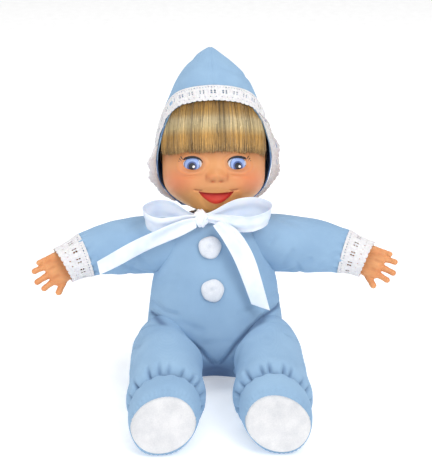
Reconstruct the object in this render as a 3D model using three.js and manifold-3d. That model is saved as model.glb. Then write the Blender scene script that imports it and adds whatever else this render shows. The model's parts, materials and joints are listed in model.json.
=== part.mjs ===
// A seated, soft-bodied interactive baby doll: a stuffed cloth body with a vinyl head and hands, a pointed
// hood, lace trims and a satin bow, and a battery-powered sound module under a flap in its back.
// Millimetres. +Z is up and the doll faces -Y. The origin is on the floor, in the middle of the seat.
import * as THREE from "three";
import { mergeVertices } from "three/addons/utils/BufferGeometryUtils.js";
import Module from "manifold-3d";

const wasm = await Module();
wasm.setup();
const rad = THREE.MathUtils.degToRad;

// ---------------------------------------------------------------- driving dimensions
const SEAT_BACK = 26; // the middle of the seat lies this far behind the torso's axis
const LEAN = 16; // degrees that the torso leans back
const HEAD_TILT = 6; // degrees that the head tips back from the torso
const CLOTH = 1.4; // thickness of the knitted cloth with its backing
const GAP = 0.4; // clearance between pieces that touch

const NECK = new THREE.Vector3(0, 2, 150); // neck pivot, in the torso's frame
const SHOULDER = new THREE.Vector3(49, 0, 121); // in the torso's frame
const SHOULDER_BALL = 24; // radius of an arm's rounded inner end
const ARM_YAW = -12; // degrees that an arm points forward
const ARM_DROP = 4; // degrees that an arm points down
const HIP = new THREE.Vector3(38, -36, 33); // in the doll's frame
const HEAD_CENTRE = 53; // above the neck pivot
const HEAD_RADII = new THREE.Vector3(47, 47, 54);

const MODULE = { width: 60, front: 1, split: 13, rear: 29, middle: 62, height: 62, wall: 2 };
const BATTERY = { radius: 5.2, length: 44, pitch: 11.2 };

// ---------------------------------------------------------------- materials
const finish = (color, roughness, metalness = 0) =>
  new THREE.MeshStandardMaterial({ color, roughness, metalness });
const blueKnit = finish(0xa3c6e3, 0.9);
const whiteFelt = finish(0xf1f3f6, 0.95);
const lace = finish(0xf8f7f5, 0.85);
const satin = finish(0xeef3fc, 0.35);
const fibrefill = finish(0xf6f5f0, 1);
const skinVinyl = finish(0xe9ac7c, 0.5);
const blondHair = finish(0xc9a468, 0.55);
const eyeGlaze = finish(0x7d96d8, 0.1);
const whitePlastic = finish(0xe9e9e4, 0.5);
const blackPlastic = finish(0x1c1c1e, 0.5);
const boardGreen = finish(0x1d6b3c, 0.55);
const steel = finish(0xb9bcc0, 0.3, 1);
const batteryWrap = finish(0x3b4a57, 0.35);
const elasticWhite = finish(0xe6e6e2, 0.9);

// ---------------------------------------------------------------- solids
function solid(geometry) {
  const bare = geometry.index ? geometry.toNonIndexed() : geometry.clone();
  for (const name of Object.keys(bare.attributes)) {
    if (name !== "position") bare.deleteAttribute(name);
  }
  const merged = mergeVertices(bare, 1e-3);
  const kept = [];
  for (let i = 0; i < merged.index.count; i += 3) {
    const [a, b, c] = merged.index.array.slice(i, i + 3);
    if (a !== b && b !== c && c !== a) kept.push(a, b, c);
  }
  const build = (corners) =>
    new wasm.Manifold(
      new wasm.Mesh({
        numProp: 3,
        vertProperties: merged.attributes.position.array,
        triVerts: new Uint32Array(corners),
      }),
    );
  const made = build(kept);
  return made.volume() < 0 ? build(kept.reverse()) : made;
}

function geometryOf(form) {
  const mesh = form.getMesh();
  return new THREE.BufferGeometry()
    .setAttribute("position", new THREE.BufferAttribute(mesh.vertProperties, 3))
    .setIndex(new THREE.BufferAttribute(mesh.triVerts, 1));
}

function addPart(group, name, material, form) {
  const mesh = new THREE.Mesh(geometryOf(form.isBufferGeometry ? solid(form) : form), material);
  mesh.name = name;
  group.add(mesh);
  return mesh;
}

// Moves every point of a geometry by a rule, which changes the point it is given.
function reshape(geometry, rule) {
  const positions = geometry.attributes.position;
  const point = new THREE.Vector3();
  for (let i = 0; i < positions.count; i += 1) {
    rule(point.fromBufferAttribute(positions, i));
    positions.setXYZ(i, point.x, point.y, point.z);
  }
  return geometry;
}

// A smooth run of [radius, height] pairs through a few of them.
const smooth = (pairs, steps) =>
  new THREE.SplineCurve(pairs.map(([r, h]) => new THREE.Vector2(r, h)))
    .getPoints(steps)
    .map((p) => [Math.max(p.x, 0), p.y]);

// The part of a run that lies below a height, continued straight to that height.
function cutAt(run, height) {
  const kept = run.filter(([, h]) => h < height);
  const [r, h] = kept[kept.length - 1];
  const [nextR, nextH] = run[kept.length] ?? [r, height];
  const share = (height - h) / (nextH - h);
  return [...kept, [THREE.MathUtils.lerp(r, nextR, share), height]];
}

// A solid of revolution about Z, from a run of [radius, height] pairs that starts and ends on the axis.
const turned = (pairs, sides) =>
  new THREE.LatheGeometry(pairs.map(([r, h]) => new THREE.Vector2(r, h)), sides).rotateX(Math.PI / 2);

// A ring about Z with a rectangular section.
const ring = (inner, outer, low, high, sides) =>
  turned([[inner, low], [outer, low], [outer, high], [inner, high], [inner, low]], sides);

const disc = (radius, low, high, sides) =>
  turned([[0, low], [radius, low], [radius, high], [0, high]], sides);

const box = (low, high) =>
  new THREE.BoxGeometry(high[0] - low[0], high[1] - low[1], high[2] - low[2]).translate(
    (low[0] + high[0]) / 2,
    (low[1] + high[1]) / 2,
    (low[2] + high[2]) / 2,
  );

const ellipsoid = (radii, centre, around = 16, down = 10) =>
  new THREE.SphereGeometry(1, around, down)
    .rotateX(Math.PI / 2)
    .scale(...radii)
    .translate(...centre);

// What is left of a form above the floor plus an inset, where the form is in a group's frame.
function aboveFloor(form, group, inset) {
  group.updateWorldMatrix(true, false);
  const slab = box([-300, -400, -200], [300, 400, inset]).applyMatrix4(group.matrixWorld.clone().invert());
  return form.subtract(solid(slab));
}

// A prism along X over an outline of [y, z] pairs.
function prismAlongX(outline, low, high) {
  const shape = new THREE.Shape(outline.map(([y, z]) => new THREE.Vector2(y, z)));
  return new THREE.ExtrudeGeometry(shape, { depth: high - low, bevelEnabled: false })
    .rotateX(Math.PI / 2)
    .rotateZ(Math.PI / 2)
    .translate(low, 0, 0);
}

// ---------------------------------------------------------------- the frame of groups
const doll = new THREE.Group();

const group = (name, parent, place = [0, 0, 0]) => {
  const made = new THREE.Group();
  made.name = name;
  made.position.set(...place);
  parent.add(made);
  return made;
};

const torso = group("torso_frame", doll, [0, -SEAT_BACK, 0]);
torso.rotation.x = rad(-LEAN);
const neck = group("neck_pivot", torso, NECK.toArray());
neck.rotation.x = rad(-HEAD_TILT);
const head = group("head_frame", neck, [0, 0, HEAD_CENTRE]);

// ---------------------------------------------------------------- torso
const TORSO_SIDES = 20;
const TORSO_FLATTENING = 0.68; // depth as a share of width, up to the shoulders
const COLLAR = { radius: 22.5, low: 142, high: 150 };
const TORSO_CURVE = [
  [34, -16], [55, 2], [63, 30], [60.5, 62], [55.5, 90], [48.5, 120], [36, 136], [COLLAR.radius, COLLAR.low],
];

// The torso's shape, drawn in by an inset, up to a height on its collar.
function torsoForm(inset, top = COLLAR.high) {
  const wall = smooth(TORSO_CURVE, 9).map(([r, h]) => [r - inset, h]);
  const collar = COLLAR.radius - inset;
  const geometry = turned([[0, -16], ...wall, [collar, top], [0, top]], TORSO_SIDES);
  reshape(geometry, (p) => {
    const rounding = THREE.MathUtils.smoothstep(p.z, 112, COLLAR.low);
    p.y *= THREE.MathUtils.lerp(TORSO_FLATTENING, 1, rounding);
  });
  return solid(geometry);
}

// The space that the thighs sweep, in front of the hip line, from lying straight to lifted.
const LIFTED = 128; // degrees from straight back, up and over to the belly's bevel
const STRAIGHT = -59; // degrees from straight back, down to the seat's bevel
const HIP_CLEARANCE = 1.5;
function thighSweep(inset) {
  const [y, z] = [HIP.y + HIP_CLEARANCE + inset, HIP.z];
  const [up, down] = [rad(LIFTED), rad(STRAIGHT)];
  const sweep = prismAlongX(
    [
      [y, z],
      [y + 70 * Math.cos(up), z + 70 * Math.sin(up)],
      [y - 120, z + 70 * Math.sin(up)],
      [y - 120, z + 60 * Math.sin(down)],
      [y + 60 * Math.cos(down), z + 60 * Math.sin(down)],
    ],
    -100,
    100,
  );
  return solid(sweep.applyMatrix4(torso.matrixWorld.clone().invert()));
}

// The hollows in the torso's sides that the arms' rounded ends turn in, from hanging low to level.
const SOCKET_CLEARANCE = 1.3;
const ARM_LOWERED = 34; // degrees that an arm points down at its lowest
function shoulderSockets(inset) {
  const ball = (radius, place) =>
    solid(ellipsoid([radius, radius, radius], place.clone().add(SHOULDER).toArray(), 14, 8));
  const radius = SHOULDER_BALL + SOCKET_CLEARANCE + inset;
  const swept = [0, ARM_DROP, ARM_LOWERED].map((drop) => {
    const way = new THREE.Euler(0, rad(drop), rad(ARM_YAW), "ZYX");
    return ball(radius + 1.5, new THREE.Vector3(24, 0, 0).applyEuler(way));
  });
  const hollow = wasm.Manifold.hull([ball(radius, new THREE.Vector3()), ...swept]);
  return hollow.add(hollow.mirror([1, 0, 0]));
}

torso.updateWorldMatrix(true, true);
const torsoBody = (inset, top) =>
  aboveFloor(
    torsoForm(inset, top).subtract(thighSweep(inset)).subtract(shoulderSockets(inset)),
    torso,
    inset,
  );

const WINDOW = { half: 27, low: 32, high: 92 }; // the access window in the back
const backWindow = solid(box([-WINDOW.half, 12, WINDOW.low], [WINDOW.half, 60, WINDOW.high]));
addPart(
  torso,
  "torso_cover",
  blueKnit,
  torsoBody(0).subtract(torsoBody(CLOTH, COLLAR.high + 10)).subtract(backWindow),
);

// The module's pocket in the stuffing, open to the back window, and the room for its press button.
const BUTTON = { height: 81, cap: 11, stem: 3, front: -5.5, back: -2 };
const PELLETS = { radii: [34, 15, 6.5], centre: [0, 13, 19.5] };
const half = MODULE.width / 2;
const [moduleLow, moduleHigh] = [MODULE.middle - MODULE.height / 2, MODULE.middle + MODULE.height / 2];
const pocket = solid(box([-half - 1, MODULE.front - 2, moduleLow - 1], [half + 1, 60, moduleHigh + 1])).add(
  solid(disc(BUTTON.cap + 2, -12, 12, 16).rotateX(Math.PI / 2).translate(0, 4, BUTTON.height)),
);
const pelletRoom = solid(ellipsoid(PELLETS.radii.map((r) => r + GAP), PELLETS.centre, 18, 8));
const pelletMouth = solid(box([-4, 8, PELLETS.centre[2]], [4, 14, moduleLow]));
addPart(
  torso,
  "torso_stuffing",
  fibrefill,
  torsoBody(CLOTH + GAP, 142).subtract(pocket).subtract(pelletRoom).subtract(pelletMouth),
);
addPart(torso, "seat_pellet_bag", whiteFelt, ellipsoid(PELLETS.radii, PELLETS.centre, 18, 8));

// A patch of cloth that follows the torso, between two distances outside it, within a box.
const torsoPatch = (near, far, low, high) =>
  torsoForm(-far).subtract(torsoForm(-near)).intersect(solid(box(low, high)));

const FELT = { radius: 10.5, thickness: 2.6 };
for (const [name, x, height] of [["felt_button_upper", -5, 119], ["felt_button_lower", -3, 81]]) {
  const cutter = solid(disc(FELT.radius, 0, 80, 18).rotateX(Math.PI / 2).translate(x, 0, height));
  const skin = torsoForm(-GAP - FELT.thickness).subtract(torsoForm(-GAP));
  addPart(torso, name, whiteFelt, skin.intersect(cutter));
}

// ---------------------------------------------------------------- back flap and its closure
const FLAP = { half: 32, low: 24, high: 97 };
const FLAP_HINGE = [0, 39.5, FLAP.high];
const flap = group("flap_hinge", torso, FLAP_HINGE);
const fromHinge = (form) => form.translate(FLAP_HINGE.map((value) => -value));
const strip = (near, far) => torsoPatch(near, far, [-26, 10, 25.5], [26, 80, 31.5]);
addPart(torso, "loop_strip", whiteFelt, strip(0.3, 1.2));
addPart(flap, "hook_strip", whiteFelt, fromHinge(strip(1.5, 2.4)));
addPart(
  flap,
  "back_flap",
  blueKnit,
  fromHinge(torsoPatch(2.7, 4, [-FLAP.half, 10, FLAP.low], [FLAP.half, 80, FLAP.high])),
);

// ---------------------------------------------------------------- sound module
const WALL = MODULE.wall;
const caseBox = (front, rear, wall = 0) =>
  box([-half + wall, front, moduleLow + wall], [half - wall, rear, moduleHigh - wall]);
const boreAlongY = (radius, x, z, low, high, sides = 14) =>
  solid(disc(radius, -high, -low, sides).rotateX(Math.PI / 2).translate(x, 0, z));
const SPEAKER = { radius: 17, height: 50 };
const CASE_SCREWS = [[-26, 66], [26, 66]];
const screwBore = (x, z, radius) => boreAlongY(radius, x, z, -10, 40, 10);

function grilleSlots() {
  const slots = [-9, -3, 3, 9].map((dz) =>
    solid(
      box([-11, MODULE.front - 5, SPEAKER.height + dz - 1], [11, MODULE.front + 5, SPEAKER.height + dz + 1]),
    ),
  );
  return slots.reduce((all, slot) => all.add(slot));
}

const screwPosts = (front, rear) =>
  CASE_SCREWS.map(([x, z]) => boreAlongY(3.4, x, z, front, rear, 10)).reduce((all, post) => all.add(post));

let frontCase = solid(caseBox(MODULE.front, MODULE.split))
  .subtract(solid(caseBox(MODULE.front + WALL, MODULE.split + 5, WALL)))
  .add(screwPosts(MODULE.front + 0.5, MODULE.split))
  .subtract(grilleSlots())
  .subtract(boreAlongY(BUTTON.stem + 0.5, 0, BUTTON.height, -5, 8));
for (const [x, z] of CASE_SCREWS) frontCase = frontCase.subtract(screwBore(x, z, 1.5 + GAP / 2));
addPart(torso, "module_front_case", whitePlastic, frontCase);

const BAY = { half: 17.5, low: moduleLow + 4, high: moduleLow + 4 + BATTERY.length + 3 };
const DOOR = { half: 20, low: moduleLow + 2.5, high: BAY.high + 4.6, thickness: 1.6 };
const SWITCH = { height: moduleHigh - 3.4, half: 7, tall: 1.5, knob: 2.6 };
const DOOR_SCREW = BAY.high + 2.4; // height of the screw that holds the door
const rearSplit = MODULE.split + GAP;
let rearCase = solid(caseBox(rearSplit, MODULE.rear))
  .subtract(solid(box([-BAY.half, rearSplit + 1.2, BAY.low], [BAY.half, 60, BAY.high])))
  .subtract(
    solid(
      box(
        [-DOOR.half - GAP, MODULE.rear - DOOR.thickness - GAP, DOOR.low - GAP],
        [DOOR.half + GAP, 60, DOOR.high + GAP],
      ),
    ),
  )
  .subtract(
    solid(
      box(
        [-SWITCH.half, MODULE.rear - 6, SWITCH.height - SWITCH.tall],
        [SWITCH.half, 60, SWITCH.height + SWITCH.tall],
      ),
    ),
  );
for (const side of [1, -1]) {
  const inner = [BAY.half + 1.5, rearSplit - 1, moduleLow + WALL];
  const outer = [half - WALL, MODULE.rear - WALL, CASE_SCREWS[0][1] - 5];
  rearCase = rearCase.subtract(solid(box(inner, outer).scale(side, 1, 1)));
}
for (const [x, z] of CASE_SCREWS) rearCase = rearCase.subtract(boreAlongY(1.5 + GAP / 2, x, z, 10, 24, 10));
rearCase = rearCase.subtract(boreAlongY(1 + GAP / 2, 0, DOOR_SCREW, 22, 40, 10));
addPart(torso, "module_rear_case", whitePlastic, rearCase);

addPart(
  torso,
  "battery_door",
  whitePlastic,
  solid(
    box(
      [-DOOR.half, MODULE.rear - DOOR.thickness, DOOR.low],
      [DOOR.half, MODULE.rear, DOOR.high],
    ),
  ).subtract(boreAlongY(1 + GAP / 2, 0, DOOR_SCREW, 20, 40, 10)),
);

// A pan-head screw with a cross recess. The origin is under its head, which faces +Y.
function screw(radius, length) {
  const body = solid(
    turned(
      [[0, -length], [radius, -length], [radius, 0], [radius * 1.8, 0], [radius * 1.8, 1.3], [0, 1.3]],
      10,
    ),
  );
  const cross = solid(box([-radius, -0.25, 0.5], [radius, 0.25, 3])).add(
    solid(box([-0.25, -radius, 0.5], [0.25, radius, 3])),
  );
  return geometryOf(body.subtract(cross)).rotateX(-Math.PI / 2);
}
CASE_SCREWS.forEach(([x, z], i) => {
  const placed = screw(1.5, 20).rotateZ(Math.PI).translate(x, MODULE.front - 0.3, z);
  addPart(torso, `case_screw_${i + 1}`, steel, placed);
});
addPart(torso, "battery_door_screw", steel, screw(1, 6).translate(0, MODULE.rear + 0.3, DOOR_SCREW));

const batteryY = rearSplit + 1.2 + GAP + BATTERY.radius;
const batteryMiddle = (BAY.low + BAY.high) / 2;
for (const [i, place] of [-1, 0, 1].entries()) {
  const way = i % 2 === 0 ? 1 : -1;
  const tall = BATTERY.length / 2;
  const cell = turned(
    [[0, -tall], [BATTERY.radius, -tall], [BATTERY.radius, tall - 1], [2, tall - 1], [2, tall], [0, tall]],
    12,
  );
  if (way < 0) cell.rotateX(Math.PI);
  cell.translate(place * BATTERY.pitch, batteryY, batteryMiddle);
  addPart(torso, `battery_${i + 1}`, batteryWrap, cell);
}
const CONTACTS = [
  ["battery_contact_upper", BAY.high - 0.9],
  ["battery_contact_lower", BAY.low + 0.4],
];
for (const [name, z] of CONTACTS) {
  addPart(torso, name, steel, box([-16, batteryY - 4, z], [16, batteryY + 4, z + 0.5]));
}

const BOARD = { front: 9.6, thickness: 1.6 };
let board = solid(
  box(
    [-half + WALL + 0.6, BOARD.front, moduleLow + 3],
    [half - WALL - 0.6, BOARD.front + BOARD.thickness, moduleHigh - 3],
  ),
);
for (const [x, z] of CASE_SCREWS) board = board.subtract(screwBore(x, z, 3.4 + GAP));
addPart(torso, "circuit_board", boardGreen, board);

// A small round speaker that faces forward, with its magnet behind its cone.
const speaker = turned(
  [
    [0, -3.4], [8, -3.4], [8, -1.6], [SPEAKER.radius - 2, 0],
    [SPEAKER.radius, 0], [SPEAKER.radius, 1], [12, 1], [0, 0.4],
  ],
  20,
);
addPart(
  torso,
  "speaker",
  blackPlastic,
  speaker.rotateX(Math.PI / 2).translate(0, MODULE.front + WALL + 1 + GAP, SPEAKER.height),
);

// The twin lead that runs from the board's edge to the speaker's tag, laid along the case.
const leadPath = new THREE.CatmullRomCurve3(
  [[18, 8.2, 75], [20, 7.4, 70], [20.6, 6.4, 62], [18.4, 6.4, 56]].map((p) => new THREE.Vector3(...p)),
);
const leadSection = new THREE.Shape().absarc(0, 0, 0.8, 0, 2 * Math.PI);
addPart(
  torso,
  "speaker_lead",
  blackPlastic,
  new THREE.ExtrudeGeometry(leadSection, { steps: 8, extrudePath: leadPath, curveSegments: 2 }),
);

const plunger = turned(
  [
    [0, 0], [BUTTON.cap - 1, 0], [BUTTON.cap, -1], [BUTTON.cap, -3.5],
    [BUTTON.stem, -3.5], [BUTTON.stem, -12], [0, -12],
  ],
  18,
);
addPart(
  torso,
  "tummy_button",
  whitePlastic,
  plunger.rotateX(Math.PI / 2).translate(0, BUTTON.front, BUTTON.height),
);

// The coil spring that returns the button, between its cap and the case.
const COIL = { radius: 5.2, wire: 0.4, turns: 2 };
class Helix extends THREE.Curve {
  getPoint(share, target = new THREE.Vector3()) {
    const angle = share * COIL.turns * 2 * Math.PI;
    const rise = THREE.MathUtils.lerp(BUTTON.back + 0.7, MODULE.front - 0.7, share);
    return target.set(COIL.radius * Math.cos(angle), rise, BUTTON.height + COIL.radius * Math.sin(angle));
  }
}
const wire = new THREE.Shape().absarc(0, 0, COIL.wire, 0, 2 * Math.PI);
addPart(
  torso,
  "button_spring",
  steel,
  new THREE.ExtrudeGeometry(wire, { steps: 24, extrudePath: new Helix(), curveSegments: 2 }),
);

addPart(
  torso,
  "power_switch",
  blackPlastic,
  box(
    [-SWITCH.half + 0.8, MODULE.rear - 4, SWITCH.height - SWITCH.tall + 0.4],
    [-SWITCH.half + 0.8 + 2 * SWITCH.knob, MODULE.rear + 1.2, SWITCH.height + SWITCH.tall - 0.4],
  ),
);

// ---------------------------------------------------------------- neck
const RIM = -50.5 - -HEAD_CENTRE; // height of the head's neck rim above the pivot
const flange = turned(
  [
    [11, -4], [17.2, -4], [17.2, -2.5], [15, -2.5], [15, 0.5], [18.6, 0.5], [18.6, RIM - 1],
    [15.6, RIM - 1], [15.6, RIM + 4.5], [17.6, RIM + 4.5], [15.4, RIM + 7], [11, RIM + 7], [11, -4],
  ],
  16,
);
addPart(neck, "neck_flange", whitePlastic, flange);
addPart(neck, "neck_tie", blackPlastic, ring(15.3, 17.4, -2.2, 0.2, 22));

// ---------------------------------------------------------------- head
const CHEEK = { height: -0.36, spread: 0.34, growth: 0.055 };
const CHIN = new THREE.Vector3(0, -28.5, -39);

// The head's shape, drawn in by an inset: an egg with full cheeks and a small chin.
function headForm(inset, around = 18, down = 12) {
  const geometry = new THREE.SphereGeometry(1, around, down).rotateX(Math.PI / 2);
  reshape(geometry, (p) => {
    const cheek = 1 + CHEEK.growth * Math.exp(-(((p.z - CHEEK.height) / CHEEK.spread) ** 2));
    const front = p.y < 0 ? cheek : 1;
    p.set(
      p.x * cheek * (HEAD_RADII.x - inset),
      p.y * (0.4 + 0.6 * front) * (HEAD_RADII.y - inset),
      p.z * (HEAD_RADII.z - inset),
    );
  });
  const chin = ellipsoid([16 - inset, 13 - inset, 11 - inset], CHIN.toArray(), 10, 6);
  return solid(geometry).add(solid(chin));
}

const VINYL = 3;
const EYE = { x: 20.5, y: -36.5, z: -8, radii: [10, 7.5, 7] };
const eyeForm = (side, grow) =>
  ellipsoid(EYE.radii.map((r) => r + grow), [side * EYE.x, EYE.y, EYE.z], 12, 8);
const nose = solid(ellipsoid([7.5, 6, 6], [0, -46, -20], 8, 6));
let headShell = headForm(0).add(nose).subtract(headForm(VINYL)).subtract(solid(disc(16.1, -70, -30, 22)));
for (const side of [1, -1]) headShell = headShell.subtract(solid(eyeForm(side, GAP)));
addPart(head, "head_shell", skinVinyl, headShell);
addPart(head, "eye_left", eyeGlaze, eyeForm(1, 0));
addPart(head, "eye_right", eyeGlaze, eyeForm(-1, 0));

// Rooted hair: a fringe that lies on the forehead, and the crown under the hood.
const hairSkin = headForm(-3.2).subtract(headForm(-GAP));
addPart(head, "hair_fringe", blondHair, hairSkin.intersect(solid(box([-60, -70, 2], [60, -5, 80]))));
addPart(head, "hair_crown", blondHair, hairSkin.intersect(solid(box([-60, -5 + GAP, 2], [60, 70, 80]))));

// ---------------------------------------------------------------- hood and its lace
const HOOD_TIP = 97;
const HOOD_CURVE = [
  [48, -46], [52, -30], [56, -10], [53, 13], [48, 27],
  [40.5, 49], [34, 63], [24.5, 78], [9, 92], [2, HOOD_TIP],
];
const HOOD_EDGE = { y: -6, slope: -0.63 }; // the face opening lies in the plane y = -6 - 0.63 z
const edgeTilt = Math.atan(HOOD_EDGE.slope);

function hoodForm(inset) {
  const wall = smooth(HOOD_CURVE, 9).map(([r, h]) => [Math.max(r - inset, 0.4), h]);
  return solid(turned([[0, -46], ...wall, [0, HOOD_TIP - 1.6 * inset]], 18));
}

// Everything in front of the face opening's plane, moved back by a distance.
const inFront = (back) =>
  solid(
    box([-120, -240, -240], [120, back, 240])
      .rotateX(-edgeTilt)
      .translate(0, HOOD_EDGE.y, 0),
  );
const nape = solid(box([-120, -120, -80], [120, 120, -44]));
const hoodInside = solid(
  turned(
    [
      [0, -80],
      [46.6, -80],
      ...smooth(HOOD_CURVE, 9).slice(1, -2).map(([r, h]) => [r - CLOTH, h]),
      [0, HOOD_TIP - 7],
    ],
    18,
  ),
);
addPart(head, "hood", blueKnit, hoodForm(0).subtract(hoodInside).subtract(inFront(0)).subtract(nape));
addPart(
  head,
  "hood_lace",
  lace,
  hoodForm(-1.3).subtract(hoodForm(-GAP)).subtract(inFront(-1)).intersect(inFront(12)).subtract(nape),
);

// ---------------------------------------------------------------- arms
const BALL_END = [0, 1, 2, 3, 4].map((step) => {
  const turn = rad(step * 20);
  return [SHOULDER_BALL * Math.sin(turn), -SHOULDER_BALL * Math.cos(turn)];
});
const SLEEVE_END = 73;
const ARM_CURVE = [[24.2, 4], [26, 18], [25, 34], [22.8, 50], [20.6, 64], [19.2, SLEEVE_END + 1]];
const DROOP = { from: 22, rate: 0.0015 }; // an arm curves down past this distance from its pivot
const WRIST = { plug: 10, groove: 8.6 };

const drooping = (geometry) =>
  reshape(geometry, (p) => {
    p.z -= DROOP.rate * Math.max(p.x - DROOP.from, 0) ** 2;
  });

const alongX = (pairs, sides) => turned(pairs, sides).rotateY(Math.PI / 2);

function armForm(inset, end) {
  const ball = BALL_END.map(([r, h]) => [r * (1 - inset / SHOULDER_BALL), h * (1 - inset / SHOULDER_BALL)]);
  const wall = smooth(ARM_CURVE, 7).map(([r, h]) => [r - inset, h]);
  return solid(drooping(alongX([...ball, ...cutAt(wall, end), [0, end]], 14)));
}

const FINGERS = [
  // [turn from the arm's line in degrees, length, radius, reach of the knuckle]
  [-30, 8, 3.1, 13],
  [-10, 10, 3.2, 16],
  [10, 10, 3.1, 16],
  [29, 8, 2.8, 13.5],
];

// A chubby vinyl hand, palm forward, with a plug and a tie groove in its wrist. The origin is its wrist.
function handForm() {
  let form = solid(
    alongX(
      [[0, -12], [WRIST.plug, -12], [WRIST.plug, -9], [WRIST.groove, -8.4], [WRIST.groove, -5], [WRIST.plug, -4.4],
        [10.4, 6], [11.2, 14], [0, 14]],
      14,
    ).scale(1, 0.8, 1),
  );
  form = form.add(solid(ellipsoid([12, 6.5, 13], [19, 0, 0], 10, 6)));
  for (const [turn, length, radius, reach] of FINGERS) {
    const finger = new THREE.CapsuleGeometry(radius, length, 2, 6).rotateZ(-Math.PI / 2);
    finger.translate(reach + length / 2, 0, 0).rotateY(rad(turn)).translate(10, -1, 0);
    form = form.add(solid(finger));
  }
  const thumb = new THREE.CapsuleGeometry(3.4, 9, 2, 6).rotateZ(-Math.PI / 2);
  return form.add(solid(thumb.translate(9, 0, 0).rotateY(rad(-58)).translate(16.5, -3, 4)));
}

for (const [word, side] of [["left", 1], ["right", -1]]) {
  const mirror = group(`arm_${word}_mirror`, torso);
  mirror.scale.x = side;
  const arm = group(`arm_${word}_pivot`, mirror, SHOULDER.toArray());
  arm.rotation.set(0, rad(ARM_DROP), rad(ARM_YAW), "ZYX");

  const wristX = SLEEVE_END + 1;
  const plugRoom = solid(
    drooping(alongX([[0, wristX - 13], [11.4, wristX - 13], [11.4, wristX + 10], [0, wristX + 10]], 14)),
  );
  const sleeveTube = armForm(0, SLEEVE_END).subtract(armForm(CLOTH, SLEEVE_END - CLOTH)).subtract(plugRoom);
  addPart(arm, `sleeve_${word}`, blueKnit, sleeveTube);
  addPart(
    arm,
    `arm_stuffing_${word}`,
    fibrefill,
    armForm(CLOTH + GAP, SLEEVE_END - CLOTH - GAP).subtract(plugRoom),
  );
  const cuff = alongX(
    [[20.6, -4], [21.4, -4], [20.8, 2], [16.2, 19], [15.4, 19], [20, 1.6], [20.6, -4]],
    14,
  ).translate(SLEEVE_END, 0, 0);
  addPart(arm, `cuff_lace_${word}`, lace, drooping(cuff));
  addPart(arm, `hand_${word}`, skinVinyl, drooping(geometryOf(handForm()).translate(wristX, 0, 0)));
  addPart(
    arm,
    `wrist_tie_${word}`,
    blackPlastic,
    drooping(
      alongX(
        [
          [WRIST.groove + GAP, -8], [10.9, -8], [10.9, -5.4],
          [WRIST.groove + GAP, -5.4], [WRIST.groove + GAP, -8],
        ],
        14,
      )
        .translate(wristX, 0, 0),
    ),
  );
}

// ---------------------------------------------------------------- legs
const LEG_CURVE = [[20, -2], [33, 12], [35.5, 32], [35.5, 62], [35, 92], [31, 110], [27.6, 117]];
const ANKLE = 117;
const SOLE = { start: 142, half: [26, 26.5] };
const BOOT_CURVE = [[28.6, ANKLE + 0.6], [33, 124], [35, 132], [33.5, 139], [31, SOLE.start]];
const SPLAY = 0.02; // sideways per unit of length along a leg
const TOES_BACK = 0.16; // how far the foot's front face leans back per unit of height
const LEG_AXIS = 1; // the leg's middle line above the hip line
const LEG_WEDGE = 45;

function hipWedge(inset) {
  const far = 170;
  const side = far * Math.tan(rad(LEG_WEDGE));
  const tip = -inset / Math.sin(rad(LEG_WEDGE));
  return solid(prismAlongX([[tip, 0], [tip - far, side], [tip - far, -side]], -90, 90));
}

// Points a form that was turned about Z forward, splays it and leans its foot back.
const asLeg = (geometry) =>
  reshape(geometry.rotateX(Math.PI / 2).translate(0, 0, LEG_AXIS), (p) => {
    const along = -p.y;
    p.x += SPLAY * along;
    p.y += TOES_BACK * p.z * THREE.MathUtils.smoothstep(along, 90, SOLE.start);
  });

const turnedLeg = (pairs) => solid(asLeg(turned(pairs, 16)));

for (const [word, side] of [["left", 1], ["right", -1]]) {
  const mirror = group(`leg_${word}_mirror`, doll);
  mirror.scale.x = side;
  const leg = group(`leg_${word}_pivot`, mirror, HIP.toArray());
  const onFloor = (form, inset) => aboveFloor(form, leg, inset);

  const legForm = (inset, end) => {
    const wall = smooth(LEG_CURVE, 9).map(([r, h]) => [r - inset, h]);
    const form = turnedLeg([[0, -2], ...cutAt(wall, end), [0, end]]);
    return onFloor(form.intersect(hipWedge(inset)), inset);
  };
  addPart(leg, `leg_cover_${word}`, blueKnit, legForm(0, ANKLE).subtract(legForm(CLOTH, ANKLE + 10)));

  const bootWall = (inset) => smooth(BOOT_CURVE, 5).map(([r, h]) => [r - inset, h]);
  const bootOuter = turnedLeg([[0, ANKLE + 0.6], ...bootWall(0), [0, SOLE.start]]);
  const bootInner = turnedLeg([
    [0, ANKLE - 5],
    [28.6 - CLOTH, ANKLE - 5],
    ...bootWall(CLOTH),
    [31 - CLOTH, SOLE.start + 5],
    [0, SOLE.start + 5],
  ]);
  addPart(leg, `bootee_${word}`, blueKnit, onFloor(bootOuter, 0).subtract(onFloor(bootInner, CLOTH)));

  const footFill = turnedLeg([
    [0, ANKLE - 7], [24.4, ANKLE - 7], [24.4, ANKLE + 4], ...bootWall(CLOTH + GAP).slice(2), [0, SOLE.start],
  ]);
  const fill = legForm(CLOTH + GAP, ANKLE - 5).add(onFloor(footFill, CLOTH + GAP));
  addPart(leg, `leg_stuffing_${word}`, fibrefill, fill);
  addPart(
    leg,
    `ankle_elastic_${word}`,
    elasticWhite,
    turnedLeg([
      [24.8, ANKLE - 3.4], [25.8, ANKLE - 3.4], [25.8, ANKLE + 3],
      [24.8, ANKLE + 3], [24.8, ANKLE - 3.4],
    ]),
  );
  const soleProfile = [
    [0, SOLE.start + 0.5], [1, SOLE.start + 0.5], [1, SOLE.start + 2.2],
    [0.6, SOLE.start + 3.6], [0, SOLE.start + 4],
  ];
  const sole = turned(soleProfile, 22);
  reshape(sole, (p) => p.set(p.x * SOLE.half[0], p.y * SOLE.half[1], p.z));
  addPart(leg, `sole_${word}`, whiteFelt, asLeg(sole));
}

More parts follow.
